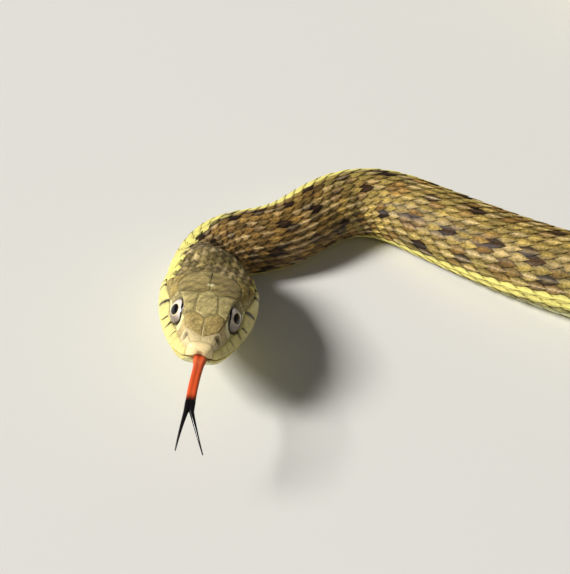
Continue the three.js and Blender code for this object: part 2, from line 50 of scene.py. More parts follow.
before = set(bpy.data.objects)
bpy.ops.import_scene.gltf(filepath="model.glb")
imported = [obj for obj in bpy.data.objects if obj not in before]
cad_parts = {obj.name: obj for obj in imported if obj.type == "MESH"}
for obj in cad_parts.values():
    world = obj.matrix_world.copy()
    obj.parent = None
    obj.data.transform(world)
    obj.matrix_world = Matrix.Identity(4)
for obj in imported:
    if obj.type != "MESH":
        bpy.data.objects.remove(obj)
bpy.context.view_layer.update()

MM = 0.001

# Driving sizes of the animal, as in its solids
TOTAL_LENGTH = 720.0
HEAD_LENGTH = 26.0
VENT = 560.0
HEAD_PITCH = np.radians(22)
LEVEL_FROM = 25.0
LEVEL_TO = 38.0
CENTRE_HEIGHT = 4.6
HEIGHT_TO_WIDTH = 0.92
BELLY_DEPTH = 0.86

# Bends of the course seen from above: where each starts, how long it is, degrees to the right
BENDS = [
    (15, 10, -14), (26, 16, 79), (41, 10, -25), (53, 19, 73), (76, 36, -16),
    (135, 130, -167), (290, 140, 182), (435, 140, -54), (610, 110, 66),
]
COURSE_STEP = 0.5

# Half width of the body behind the head, as (s, size)
HALF_WIDTH = [
    (26, 5.8), (31, 4.6), (38, 5.1), (50, 5.2), (90, 6.5), (150, 7.7), (250, 8.7), (350, 9.0),
    (450, 8.3), (520, 7.2), (560, 6.2), (600, 4.7), (650, 3.0), (700, 1.4), (720, 0.35),
]

# Lines of the head from crown to chin: half width and height over the chin, as (s, size)
HEAD_WIDTHS = [
    [(0, 0), (22, 0)],
    [(0, 0.15), (0.5, 1.25), (1.2, 1.7), (2.5, 2.15), (5, 2.8), (7.5, 3.35), (10, 3.8),
     (13, 4.5), (18, 4.75), (22, 4.4)],
    [(0, 0.2), (0.5, 1.5), (1.2, 2.1), (2.5, 2.7), (5, 3.3), (7.5, 3.85), (10, 4.75),
     (13, 6.0), (18, 6.95), (22, 6.6)],
    [(0, 0.15), (0.5, 1.5), (1.2, 2.45), (2.5, 3.4), (5, 4.45), (7.5, 5.25), (10, 5.95),
     (14.5, 6.95), (18.5, 7.3), (22, 6.9)],
    [(0, 0.1), (0.5, 1.2), (1.2, 2.2), (2.5, 3.15), (5, 4.2), (7.5, 5.0), (10, 5.7),
     (14.5, 6.7), (18.5, 7.05), (22, 6.6)],
    [(0, 0.05), (0.5, 0.7), (1.2, 1.5), (2.5, 2.3), (5, 3.2), (7.5, 3.9), (10, 4.5),
     (14.5, 5.3), (18.5, 5.3), (22, 4.4)],
    [(0, 0), (22, 0)],
]
HEAD_HEIGHTS = [
    [(0, 2.7), (0.5, 3.75), (1.2, 4.25), (2.0, 4.7), (3.2, 5.6), (4.5, 6.4), (6.5, 7.3),
     (9, 8.1), (13, 8.7), (18, 9.15), (22, 9.4)],
    [(0, 2.7), (0.5, 3.5), (1.2, 4.0), (2.5, 4.75), (5, 6.2), (7.5, 7.1), (10, 7.55),
     (13, 7.75), (18, 8.05), (22, 8.35)],
    [(0, 2.7), (0.5, 2.95), (1.2, 3.25), (2.5, 3.75), (5, 4.35), (7.5, 4.7), (10, 5.1),
     (13, 5.6), (18, 6.2), (22, 6.3)],
    [(0, 2.7), (0.5, 2.2), (1.2, 1.95), (2.5, 1.85), (5, 1.9), (7.5, 2.0), (10, 2.25),
     (14.5, 3.0), (18.5, 3.9), (22, 4.3)],
    [(0, 2.7), (0.5, 1.7), (1.2, 1.2), (2.5, 1.05), (5, 1.1), (7.5, 1.25), (10, 1.45),
     (14.5, 2.1), (18.5, 2.8), (22, 3.1)],
    [(0, 2.7), (0.5, 1.6), (1.2, 0.85), (2.5, 0.4), (5, 0.25), (7.5, 0.3), (10, 0.35),
     (14.5, 0.5), (18.5, 0.6), (22, 0.5)],
    [(0, 2.7), (0.5, 1.55), (1.2, 0.75), (2.5, 0.2), (5, -0.05), (10, -0.1), (18, 0),
     (22, 0.15)],
]

# Turn from the back to each line of v on the round sections behind the head
TURN_AT = [(0, 0), (1, 38), (2, 72), (3, 92), (4, 104), (5, 149.3), (6, 180)]
LINES = 6
HEAD_FADES_FROM = 20.0
HEAD_FADES_OVER = 6.0

# Height of the mouth line over the chin, as (s, height)
MOUTH = [
    (0, 1.7), (0.5, 1.65), (2, 1.5), (5, 1.52), (9.7, 1.85), (13, 2.3), (16, 2.9), (18.4, 3.5),
]

# Middle of the left eye's solid, and of the eyeball with its radius: s, x from the midline and
# height over the chin
EYE = (8.5, 2.85, 4.98)
EYE_BALL = (8.65, 2.82, 5.1)
EYE_BALL_RADIUS = 2.47
SIDES = (1, -1)


def ease(x, start, span):
    """Smooth step from 0 to 1 that starts at start and takes span: t squared times 3 - 2t."""
    t = np.clip((x - start) / span, 0, 1)
    return t * t * (3 - 2 * t)


def notch(x, width):
    """Bell of height 1 at 0, which falls to about a third at width."""
    return np.exp(-(x / width) ** 2)


def table_at(table, place):
    """Straight lines through (place, value) pairs."""
    at, value = np.array(table, float).T
    return np.interp(place, at, value)


def curve(at, values, place):
    """Cubic curve through values (first axis) at the places at; the slope at a value is the
    mean of its two chords, each weighted by the other's width."""
    def upright(x):
        return x.reshape(x.shape + (1,) * (values.ndim - 1))

    width = np.diff(at)
    before, after = upright(width[:-1]), upright(width[1:])
    chord = np.diff(values, axis=0) / upright(width)
    inner = (chord[:-1] * after + chord[1:] * before) / (before + after)
    slope = np.concatenate([chord[:1], inner, chord[-1:]])
    i = np.clip(np.searchsorted(at, place, side="right") - 1, 0, len(at) - 2)
    t = upright((place - at[i]) / width[i])
    rise = t * t * (3 - 2 * t)
    bow = t * (1 - t) ** 2 * slope[i] - t * t * (1 - t) * slope[i + 1]
    return values[i] * (1 - rise) + values[i + 1] * rise + upright(width[i]) * bow


def along(table, place):
    """The cubic curve through (place, value) pairs."""
    return curve(*np.array(table, float).T, place)


def curve_through(values, share):
    """The cubic curve through evenly spaced values, at shares of its length."""
    last = len(values) - 1
    return curve(np.arange(last + 1), np.asarray(values, float), np.asarray(share, float) * last)


def mix(a, b, share):
    """From a to b by a share, for numbers or for colours on the last axis."""
    a, b, share = np.asarray(a, float), np.asarray(b, float), np.asarray(share, float)
    if a.ndim and a.shape[-1] == 3 or b.ndim and b.shape[-1] == 3:
        share = share[..., None]
    return a + (b - a) * share


def darker(colour, share):
    """A colour taken toward black by a share."""
    return mix(colour, np.zeros(3), share)


def spread(x):
    """One value for each of a run of grids, ready to be used with the grids' own rows and
    columns."""
    return x[:, None, None]


def clustered(count):
    """Shares from 0 to 1, closer together at both ends: half of 1 minus the cosine."""
    return (1 - np.cos(np.pi * np.arange(count) / (count - 1))) / 2


def heading(s):
    """Turn of the course seen from above: the sum of its eased bends."""
    return np.radians(sum(turn * ease(s, start, span) for start, span, turn in BENDS))


def pitch(s):
    """Dip of the course toward the tail: the head's own, eased to none on the floor."""
    return HEAD_PITCH * (1 - ease(s, LEVEL_FROM, LEVEL_TO - LEVEL_FROM))


def backward(s):
    """Unit vectors toward the tail, from heading and pitch."""
    level = np.cos(pitch(s))
    return np.stack([np.sin(heading(s)) * level, np.cos(heading(s)) * level, -np.sin(pitch(s))], -1)


def half_width(s):
    """Half width of a body section, run on in a straight line in front of its first place."""
    first, size = HALF_WIDTH[0]
    slope = (HALF_WIDTH[1][1] - size) / (HALF_WIDTH[1][0] - first)
    return np.where(s < first, size + (s - first) * slope, along(HALF_WIDTH, np.maximum(s, first)))


course_s = np.arange(0, TOTAL_LENGTH + COURSE_STEP, COURSE_STEP)
course_steps = backward(course_s[:-1] + COURSE_STEP / 2) * COURSE_STEP
course = np.vstack([np.zeros(3), np.cumsum(course_steps, 0)])

# Where the snout's tip lies, which is found below
origin_shift = np.zeros(3)


def centre(s):
    """Centre line: the backward vectors summed from the snout, lifted so that the belly is on
    the floor, and run on straight past both ends."""
    inside = np.clip(s, 0, TOTAL_LENGTH)
    p = np.stack([np.interp(inside, course_s, course[:, k]) for k in range(3)], -1)
    p = p + backward(inside) * (s - inside)[..., None]
    belly = BELLY_DEPTH * HEIGHT_TO_WIDTH * half_width(np.maximum(s, LEVEL_TO))
    p[..., 2] += belly - course[-1, 2]
    return p + origin_shift


def section_frame(s):
    """Centre, left and up of the section at s, where up is left crossed with backward."""
    back = backward(s)
    left = np.stack([np.cos(heading(s)), -np.sin(heading(s)), np.zeros_like(s)], -1)
    return centre(s), left, np.cross(left, back)


def head_place(s, x, height):
    """Point at s behind the snout, x from the midline and height over the chin."""
    here, left, up = section_frame(np.asarray(s, float))
    return here + left * np.asarray(x, float)[..., None] + up * (
        np.asarray(height, float)[..., None] - CENTRE_HEIGHT)


# The solids stand on the middle of their footprint, which the left eye's solid tells
low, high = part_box("eye_left")
origin_shift = np.array((low + high) / 2 / MM) - head_place(*EYE)


def head_lines(s):
    """Half widths and heights of the seven head lines, as curves over the root of s, with
    their last places on the neck's round section."""
    root = np.sqrt(np.maximum(s, 0))
    size = half_width(np.array(HEAD_LENGTH))
    turns = np.radians([turn for _, turn in TURN_AT])
    wide = size * np.sin(turns)
    high = CENTRE_HEIGHT + HEIGHT_TO_WIDTH * size * np.maximum(np.cos(turns), -BELLY_DEPTH)

    def lines(tables, at_neck):
        return np.stack([
            along([(at ** 0.5, value) for at, value in [*table, (HEAD_LENGTH, end)]], root)
            for table, end in zip(tables, at_neck)])

    return lines(HEAD_WIDTHS, wide), lines(HEAD_HEIGHTS, high)


def folded(v):
    """v past the belly's middle as one on the other side, and the sign of its side."""
    v = np.where(np.abs(v) > LINES, v - 2 * LINES * np.sign(v), v)
    return v, np.where(v < 0, -1, 1)


def head_section(s, v):
    """Closed curve through the head lines at s, each span a cubic with the slope of the chord
    between its neighbours; gives x from the midline and y over the section's centre."""
    v, side = folded(v)
    wide, high = head_lines(s)
    wide = np.concatenate([-wide[1:2], wide, -wide[-2:-1]])
    high = np.concatenate([high[1:2], high, high[-2:-1]])
    k = np.minimum(np.floor(np.abs(v)).astype(int), LINES - 1)
    t = np.abs(v) - k

    def spline(lines):
        a, b, c, d = (np.take_along_axis(lines, (k + n)[None], 0)[0] for n in range(4))
        return 0.5 * (2 * b + (c - a) * t + (2 * a - 5 * b + 4 * c - d) * t ** 2
                      + (3 * b - a - 3 * c + d) * t ** 3)

    return side * spline(wide), spline(high) - CENTRE_HEIGHT


def section_height(s, v):
    """Height over the chin of a point of the head's skin."""
    return head_section(np.asarray(s, float), np.asarray(v, float))[1] + CENTRE_HEIGHT


def body_section(s, v):
    """Ellipse with its underside cut flat at a share of the half height."""
    v, side = folded(v)
    turn = np.radians(along(TURN_AT, np.abs(v)))
    size = half_width(s)
    flat = np.maximum(np.cos(turn), -BELLY_DEPTH)
    return side * size * np.sin(turn), HEIGHT_TO_WIDTH * size * flat


def skin_point(s, v):
    """Point of the smooth outer form: head section and body section, eased into each other."""
    s, v = np.broadcast_arrays(np.asarray(s, float), np.asarray(v, float))
    x, y = body_section(s, v)
    on_head = s < HEAD_FADES_FROM + HEAD_FADES_OVER
    if on_head.any():
        hx, hy = head_section(s[on_head], v[on_head])
        share = ease(s[on_head], HEAD_FADES_FROM, HEAD_FADES_OVER)
        x[on_head] = hx + (x[on_head] - hx) * share
        y[on_head] = hy + (y[on_head] - hy) * share
    here, left, up = section_frame(s)
    return here + left * x[..., None] + up * y[..., None]


SLOPE_STEP = 0.02


def surface(s, v, height):
    """Point raised by height along the skin's outward normal, which is the cross product of
    the steps round the section and toward the tail."""
    s, v = np.broadcast_arrays(np.asarray(s, float), np.asarray(v, float))
    round_it = skin_point(s, v + SLOPE_STEP) - skin_point(s, v - SLOPE_STEP)
    back = skin_point(s + SLOPE_STEP, v) - skin_point(np.maximum(s - SLOPE_STEP, 0), v)
    normal = np.cross(round_it, back)
    normal /= np.maximum(np.linalg.norm(normal, axis=-1, keepdims=True), 1e-12)
    return skin_point(s, v) + normal * np.asarray(height, float)[..., None]


# Way round each section: for each v the way from the back, and for each share of the way v
SHARES = np.linspace(0, 1, 61)
girth_s = np.concatenate(
    [np.arange(0.5, HEAD_LENGTH, 0.5), np.arange(HEAD_LENGTH, TOTAL_LENGTH + 1, 2)])
way_v = np.linspace(0, LINES, 181)
way_points = skin_point(girth_s[:, None], way_v[None])
way_lengths = np.linalg.norm(np.diff(way_points, axis=1), axis=-1)
ways = np.concatenate([np.zeros((len(girth_s), 1)), np.cumsum(way_lengths, 1)], 1)
v_table = np.stack([np.interp(SHARES * way[-1], way, way_v) for way in ways])


def between(table, s, j):
    """Value of a table of the sections at s and at place j of its rows: the mean of the four
    nearest values, each weighted by how near it is."""
    i = np.interp(s, girth_s, np.arange(len(girth_s)))
    i0 = np.minimum(i.astype(int), len(girth_s) - 2)
    j0 = np.minimum(j.astype(int), table.shape[1] - 2)
    di, dj = i - i0, j - j0
    near = table[i0, j0] * (1 - dj) + table[i0, j0 + 1] * dj
    far = table[i0 + 1, j0] * (1 - dj) + table[i0 + 1, j0 + 1] * dj
    return near * (1 - di) + far * di


def v_of(s, share):
    """v at a signed share of the half girth."""
    j = np.clip(np.abs(share), 0, 1) * (len(SHARES) - 1)
    return np.where(share < 0, -1, 1) * between(v_table, s, j)


# How far the scale rows lean toward the animal's left, as (s, degrees)
NECK_LEAN = [(17, 0), (33, 45), (45, 48), (60, 48), (100, 0), (110, 0)]

# Scale rows on a side, counted from the back, and the share of the half girth where they end
ROWS = [
    (0, 9.4), (350, 9.4), (420, 8.4), (560, 8.0), (600, 6.3), (650, 4.5), (700, 2.8), (720, 1.8),
]
ROWS_END = [(0, 0.66), (540, 0.66), (580, 0.70), (720, 0.70)]
FULL_ROWS = 9.9

# Step between scale rings, as (s, size), and the step that the scales' heights are given for
RING_STEPS = [
    (0, 1.5), (30, 1.65), (60, 2.2), (150, 3.4), (300, 4.0), (450, 3.9), (560, 3.1), (620, 2.3),
    (700, 1.3), (720, 1.0),
]
RING_FULL = 4.0


def wrapped(share):
    """A share past the belly's middle is one on the other side."""
    return (np.asarray(share) + 1) % 2 - 1


def lean(s):
    """Lean of the scale rows as a share of the half girth."""
    return table_at(NECK_LEAN, s) / 180


def v_at(s, share):
    """v at a share of the half girth counted from the leaning scale row of the back."""
    return v_of(s, wrapped(share + lean(s)))


def share_at(s, v):
    """Share of the half girth at v, counted from the leaning scale row of the back."""
    last = len(way_v) - 1
    way = between(ways, s, np.clip(np.abs(v) / LINES, 0, 1) * last)
    girth = between(ways, s, np.full(np.shape(v), last))
    return wrapped(np.sign(v) * way / girth - lean(s))


def ring_step(s):
    """Distance along the animal from one ring of scales to the next."""
    return table_at(RING_STEPS, s)


ring_count = np.concatenate(
    [[0], np.cumsum(COURSE_STEP / ring_step(course_s[:-1] + COURSE_STEP / 2))])


def ring_of(s):
    """Rings between the snout's tip and s: each short way there divided by the step, summed."""
    return np.interp(s, course_s, ring_count)


def ring_place(ring):
    """s of a ring."""
    return np.interp(ring, ring_count, course_s)


# The mouth line, found on each section by reading v where its height is the mouth's
mouth_s = np.arange(0.6, 18.41, 0.2)
lip_v = np.arange(3.0, 4.81, 0.02)
lip_heights = section_height(*np.broadcast_arrays(mouth_s[:, None], lip_v[None]))
mouth_lines = np.array([np.interp(-level, -row, lip_v)
                        for level, row in zip(along(MOUTH, mouth_s), lip_heights)])


def mouth_v(s):
    """v of the mouth line at s."""
    return np.interp(s, mouth_s, mouth_lines)


def eye_middle(side):
    """Middle of an eyeball."""
    s, x, height = EYE_BALL
    return head_place(s, side * x, height)


def grid_quads(rows, columns, closed=False):
    """Quads of a grid whose faces point along the cross product of its column and row steps."""
    index = np.arange(rows * columns).reshape(rows, columns)
    if closed:
        index = np.concatenate([index, index[:, :1]], 1)
    return np.stack(
        [index[:-1, :-1], index[:-1, 1:], index[1:, 1:], index[1:, :-1]], -1).reshape(-1, 4)


def repeated(faces, count, size):
    """The faces of one shape, repeated for count shapes of size points each."""
    return (faces[None] + np.arange(count)[:, None, None] * size).reshape(-1, faces.shape[1])


def slabs(upper, lower):
    """Closes like pairs of grids, shaped (count, rows, columns, 3), into solids."""
    count, rows, columns, _ = upper.shape
    size = rows * columns
    points = np.concatenate([upper.reshape(count, size, 3), lower.reshape(count, size, 3)], 1)
    index = np.arange(size).reshape(rows, columns)
    rim = np.concatenate([index[0, :-1], index[:-1, -1], index[-1, :0:-1], index[:0:-1, 0]])
    after = np.roll(rim, -1)
    walls = np.stack([after, rim, rim + size, after + size], 1)
    top = grid_quads(rows, columns)
    faces = np.concatenate([top, top[:, ::-1] + size, walls])
    return points.reshape(-1, 3), repeated(faces, count, 2 * size)


def slab_tints(upper, lower, shade):
    """Tints of slabs: those of the upper grids, then those of the lower ones darkened by a share, as
    painted shade under the slabs.
    """
    count = len(upper)
    tints = [upper.reshape(count, -1, 3), shade * lower.reshape(count, -1, 3)]
    return np.concatenate(tints, 1).reshape(-1, 3)


def closed_rings(rings):
    """Closes a run of rings, shaped (rows, columns, 3), with a pole at each end."""
    rows, columns, _ = rings.shape
    size = rows * columns
    points = np.concatenate([rings.reshape(-1, 3), rings[0].mean(0)[None], rings[-1].mean(0)[None]])
    around = np.arange(columns)
    after = (around + 1) % columns
    last = (rows - 1) * columns
    first_fan = np.stack([after, around, np.full(columns, size)], 1)
    last_fan = np.stack([around + last, after + last, np.full(columns, size + 1)], 1)
    return points, [grid_quads(rows, columns, closed=True), np.concatenate([first_fan, last_fan])]


def ring_tints(tint):
    """Tints of closed rings: the rings' own, then one for each pole."""
    return np.concatenate([tint.reshape(-1, 3), tint[[0, -1], 0]])


def joined(parts):
    """Several parts as one, with their faces grouped by their number of corners."""
    starts = np.cumsum([0] + [len(points) for points, _, _ in parts])
    groups = {}
    for (_, polygons, _), start in zip(parts, starts):
        for faces in polygons:
            groups.setdefault(faces.shape[1], []).append(faces + start)
    return (np.concatenate([points for points, _, _ in parts]),
            [np.concatenate(group) for group in groups.values()],
            np.concatenate([tints for _, _, tints in parts]))


# Head shields. A shield is rows of places (s, v) from its inner edge to its outer edge, from the
# front row to the rear row; it is mirrored for the right side. Its finish is a colour's name.
PAIRED_SHIELDS = {
    "internasal": ("snout", [
        [(0.85, 0), (0.85, 0.5), (0.85, 0.98)],
        [(1.55, 0), (2.1, 0.55), (3.0, 1.05)]]),
    "prefrontal": ("prefrontal", [
        [(1.55, 0), (2.1, 0.55), (3.0, 1.05)],
        [(3.0, 0), (3.6, 0.58), (4.1, 1.12)],
        [(4.5, 0), (5.55, 0.55), (5.1, 1.15)]]),
    "supraocular": ("crown", [
        [(5.6, 0.55), (5.35, 0.85), (5.15, 1.12)],
        [(7.6, 0.44), (7.6, 0.75), (7.7, 1.03)],
        [(9.5, 0.36), (10.1, 0.65), (10.9, 1.1)]]),
    "parietal": ("parietal", [
        [(10.6, 0), (9.75, 0.36), (10.15, 0.7), (10.9, 1.12)],
        [(13.3, 0), (13.3, 0.35), (13.3, 0.7), (13.2, 1.02)],
        [(15.4, 0), (15.4, 0.3), (15.3, 0.6), (15.0, 0.92)],
        [(16.7, 0), (16.9, 0.2), (16.6, 0.42), (16.0, 0.62)]]),
    "front_nasal": ("snout", [
        [(0.85, 1.0), (0.85, 1.6), (0.85, 2.25)],
        [(2.1, 1.0), (2.1, 1.6), (2.1, 2.3)]]),
    "rear_nasal": ("snout", [
        [(2.1, 1.0), (2.1, 1.6), (2.1, 2.3)],
        [(3.1, 1.08), (3.15, 1.7), (3.1, 2.35)]]),
    "loreal": ("lore", [
        [(3.1, 1.08), (3.15, 1.7), (3.1, 2.35)],
        [(4.7, 1.14), (4.8, 1.7), (4.7, 2.35)]]),
    "preocular": ("pale", [
        [(4.7, 1.14), (4.8, 1.7), (4.7, 2.35)],
        [(5.6, 1.18), (6.15, 1.75), (6.35, 2.35)]]),
    "upper_postocular": ("crown", [
        [(10.3, 1.1), (10.65, 1.3), (10.75, 1.55)],
        [(11.4, 1.15), (11.55, 1.3), (11.55, 1.5)]]),
    "middle_postocular": ("crown", [
        [(10.75, 1.55), (10.85, 1.7), (10.8, 1.92)],
        [(11.55, 1.5), (11.65, 1.65), (11.7, 1.8)]]),
    "lower_postocular": ("pale", [
        [(10.8, 1.92), (10.6, 2.15), (10.3, 2.38)],
        [(11.7, 1.8), (11.8, 1.85), (11.9, 1.9)]]),
    "front_temporal": ("temple", [
        [(11.5, 1.12), (11.6, 1.5), (11.85, 1.86)],
        [(12.9, 1.05), (13.0, 1.4), (13.1, 1.8)],
        [(14.0, 0.99), (14.25, 1.35), (14.3, 1.74)]]),
    "upper_rear_temporal": ("temple", [
        [(14.0, 0.99), (14.15, 1.2), (14.2, 1.36)],
        [(16.6, 0.74), (16.8, 1.0), (16.8, 1.3)]]),
    "lower_rear_temporal": ("temple", [
        [(14.2, 1.36), (14.3, 1.55), (14.3, 1.74)],
        [(16.8, 1.3), (17.0, 1.5), (16.6, 1.76)]]),
    "front_chin": ("belly", [
        [(1.9, 4.75), (1.9, 5.3), (1.9, 5.95)],
        [(4.6, 4.7), (4.8, 5.3), (4.9, 5.95)],
        [(7.2, 5.0), (7.6, 5.4), (7.8, 5.95)]]),
    "rear_chin": ("belly", [
        [(7.2, 5.0), (7.6, 5.4), (7.8, 5.95)],
        [(10.0, 4.8), (10.2, 5.2), (10.4, 5.7)],
        [(12.8, 4.8), (13.0, 5.0), (13.0, 5.3)]]),
}
FRONTAL = [
    [(4.55, 0), (5.05, 0.27), (5.6, 0.5)],
    [(6.6, 0), (6.7, 0.24), (6.8, 0.46)],
    [(8.6, 0), (8.6, 0.2), (8.7, 0.38)],
    [(9.6, 0), (9.5, 0.18), (9.4, 0.34)],
    [(10.5, 0), (10.4, 0.04), (10.3, 0.08)],
]
# Seams between the upper labials, from the lip up: s at the lip, then places (s, v); and how
# wide the black bar in front of each seam is at the lip and at the top
UPPER_LIP_SEAMS = [
    (0.85, [(0.85, 2.8), (0.85, 2.28)], (0, 0)),
    (2.3, [(2.35, 2.8), (2.4, 2.33)], (0, 0.12)),
    (4.3, [(4.1, 2.8), (3.9, 2.36)], (0, 0.2)),
    (6.1, [(6.0, 2.8), (5.7, 2.38)], (0.1, 0.5)),
    (9.0, [(8.95, 2.8), (8.9, 2.47)], (0.15, 0.7)),
    (12.2, [(11.2, 2.8), (10.4, 2.43)], (0.25, 0.8)),
    (16.0, [(14.9, 2.7), (12.0, 1.88)], (0.35, 0.8)),
    (19.0, [(17.6, 2.32), (16.5, 1.8)], (0.3, 0.8)),
    (20.2, [(19.2, 2.4), (18.3, 1.72)], (0.2, 0.7)),
]
# Seams between the lower labials, as s at the lip; the v where their plates turn under and
# where they end, and their bars; and how far both lips' plates stay from the mouth line
LOWER_LIP_SEAMS = [0.75, 2.0, 3.5, 5.2, 7.6, 10.4, 13.6, 17.0, 19.6]
LOWER_LIP_TURN = 4.25
LOWER_LIP_DEPTH = 4.66
LOWER_LIP_BAR = (0.12, 0.02)
LIP_GAP = 0.09

# Half the seam between two shields, and the width of their rounded edges
SEAM = 0.032
SHIELD_EDGE = 0.28
TIP_EDGE = 0.25
# Height of a plate's edge, its dome, how far the brow rises outwards and how deep its root lies
PLATE_START = 0.02
SHIELD_LIFT = 0.16
SNOUT_LIFT = 0.12
LOWER_LIFT = 0.15
BROW_BRIM = 0.18
PLATE_ROOT = -0.35
# How dark its underside is painted, as shade under the plate, and how many points a side
# of its grid has
UNDER_SHADE = 0.25
SHIELD_POINTS = 16
FINER_POINTS = {"snout": 22, "parietal": 32}
FRONTAL_POINTS = 24
SMOOTH_FINISHES = ("snout", "pale", "lore")

# Nostril: middle s and v of its slit, half its length and half its height; its depth
NOSTRIL_SLIT = (2.25, 1.5, 0.36, 0.42)
NOSTRIL_DEPTH = 0.7

# Pale spot on the rear crown's middle seam: its s, half length and half width
PALE_SPOT = (12.4, 0.34, 0.13)
# Where the painted shade in the middle seam starts, behind the spot
SEAM_DARK_FROM = 12.8
# Crease across the rear crown, painted dark as shade: its middle place, how far it waves,
# waves to a unit of v, phase
CREASE = (13.2, 0.7, 7.0, 0.3)

# Plates at the tips of snout and chin: how far back the one reaches, the notch for the tongue,
# where the other starts on the lip, how far back it reaches and how much less at its ends
ROSTRAL_REACH = 0.85
TONGUE_NOTCH = 1.05
TONGUE_NOTCH_HEIGHT = 0.8
MENTAL_FROM = 3.95
MENTAL_REACH = (1.75, 0.85)


def lengths(points, axis):
    """Mean length of a grid's lines along one of its axes."""
    return np.linalg.norm(np.diff(points, axis=axis), axis=-1).sum(axis).mean()


def shield_grid(rows, count):
    """Even grid of (s, v) between a shield's rows, drawn in by the seam, the places of its
    rows and columns in millimetres, and its length and width."""
    even = np.linspace(0, 1, count)
    across = np.stack([curve_through(row, even) for row in rows])
    outline = curve_through(across, even)
    points = skin_point(outline[..., 0], outline[..., 1])
    long, wide = lengths(points, 0), lengths(points, 1)
    inset = np.array([SEAM / long, SEAM / wide])
    a, b = (side + clustered(count) * (1 - 2 * side) for side in inset)
    across = np.stack([curve_through(row, b) for row in rows])
    return curve_through(across, a), a * long, b * wide, long, wide


def rounded(distance, edge):
    """Quarter of a round edge: 0 at the edge, 1 from its width inwards."""
    x = np.clip(distance / edge, 0, 1)
    return np.sqrt(1 - (1 - x) ** 2)


def nostril_dent(s, v):
    """Depth of the nostril, a bell across a slit between the nasals."""
    at, around, half_long, half_high = NOSTRIL_SLIT
    x, y = (s - at) / half_long, (np.abs(v) - around) / half_high
    return np.exp(-(x * x + y * y))


def shield(rows, tint_of, side=1, lift=SHIELD_LIFT, brim=0.0, count=SHIELD_POINTS):
    """A domed plate on the skin: it rises by a rounded edge to lift, and by brim toward its
    outer edge, and its underside is sunk in the skin."""
    grid, along_rows, across_rows, long, wide = shield_grid(rows, count)
    s, v = grid[..., 0], grid[..., 1]
    dent = nostril_dent(s, v)
    ends = np.minimum(along_rows, long - along_rows)[:, None]
    sides = np.minimum(across_rows, wide - across_rows)[None]
    from_edge = np.minimum(ends, sides)
    dome = rounded(ends - SEAM, SHIELD_EDGE) * rounded(sides - SEAM, SHIELD_EDGE)
    across = np.broadcast_to((across_rows / wide)[None], s.shape)
    to_rear = np.broadcast_to((long - along_rows)[:, None], s.shape)
    height = PLATE_START + (lift - PLATE_START + brim * across ** 2) * dome - NOSTRIL_DEPTH * dent
    if side < 0:
        s, v, height, dent, across, from_edge, to_rear = (
            x[:, ::-1] for x in (s, -v, height, dent, across, from_edge, to_rear))
    upper = surface(s, v, height)
    lower = surface(s, v, PLATE_ROOT - NOSTRIL_DEPTH * dent)
    points, faces = slabs(upper[None], lower[None])
    tint = tint_of(s, v, across, from_edge, to_rear)
    # painted shade in the nostril, nearly black at its middle
    tint = darker(tint, 0.85 * np.clip(1.4 * dent - 0.2, 0, 1))[None]
    return points, [faces], slab_tints(tint, tint, UNDER_SHADE)


def plain_tint(colour, seam=0.12, flecks=1.0):
    """One colour with faint paler and darker flecks, where two waves meet, and painted shade
    that darkens it toward the seams."""
    def tint(s, v, across, from_edge, to_rear):
        fleck = np.sin(5.3 * s + 2 * np.sin(9 * v)) * np.sin(15 * v + 2.1 * s)
        level = 0.4 * ease(fleck, 0.3, 0.6) - 0.32 * ease(-fleck, 0.25, 0.6)
        return darker(colour * (1 + flecks * level)[..., None], seam * np.exp(-from_edge / 0.12))
    return tint


def pale_spot(s, v):
    """Share of the small pale spot on the rear crown's middle seam, an oval across it."""
    at, half_long, half_wide = PALE_SPOT
    x, y = (s - at) / half_long, v / half_wide
    return 1 - ease(np.sqrt(x * x + y * y), 0.8, 0.4)


def parietal_tint(colours):
    """The rear crown's colour with broad darker blotches, where two waves meet, half of the
    pale spot, and painted shade: in the middle seam behind the spot, along the edge behind the
    brow and in a crease that waves across both shields, wider and darker on the animal's left,
    the side turned from the key light."""
    under = plain_tint(colours["parietal"], 0.4)
    middle, wave, waves, phase = CREASE

    def tint(s, v, across, from_edge, to_rear):
        base = under(s, v, across, from_edge, to_rear)
        blotch = np.sin(1.7 * s + 1.2 * np.sin(5 * v) + 1) * np.sin(5.5 * v - 1.1 * s)
        base = base * (1 - 0.35 * ease(blotch, 0.1, 0.6))[..., None]
        line = np.exp(-np.abs(v) / 0.04) * ease(s, SEAM_DARK_FROM, 0.6)
        brow = np.exp(-from_edge / 0.2) * ease(np.abs(v), 0.45, 0.2) * (1 - ease(s, 11.6, 0.6))
        leftward = np.clip(v, 0, 1)
        crease = notch(s - (middle + wave * np.sin(waves * v + phase)), 0.25 + 0.45 * leftward)
        crease = crease * ease(np.abs(v), 0.06, 0.1)
        # painted shade in the middle seam, along the brow's edge and in the crease, the crease more
        # on the animal's left, away from the key light
        dark = 0.6 * line + 0.7 * brow + (0.35 + 0.25 * leftward) * crease
        return mix(darker(base, np.clip(dark, 0, 0.85)), colours["pale"], pale_spot(s, v))
    return tint


def lip_tint(colours, bar):
    """Cream lip with painted shade toward its seams, and a black bar in front of its rear seam, as
    wide as bar says at the lip and at the top."""
    at_lip, at_top = bar

    def tint(s, v, across, from_edge, to_rear):
        cream = mix(colours["lip"], colours["lip_edge"], np.clip(across * 1.3 - 0.3, 0, 1))
        # painted shade toward the seams
        edge = darker(cream, 0.12 * np.exp(-from_edge / 0.1))
        reach = mix(at_top, at_lip, across) + 1e-3
        ragged = 1 + 0.2 * np.sin(9 * s + 14 * v)
        black = (1 - ease(to_rear, reach * ragged * 0.75, 0.3 * reach + 0.08)) * (reach > 0.04)
        return mix(edge, colours["bar"], black * (1 - 0.9 * ease(across, 0.5, 0.25)))
    return tint


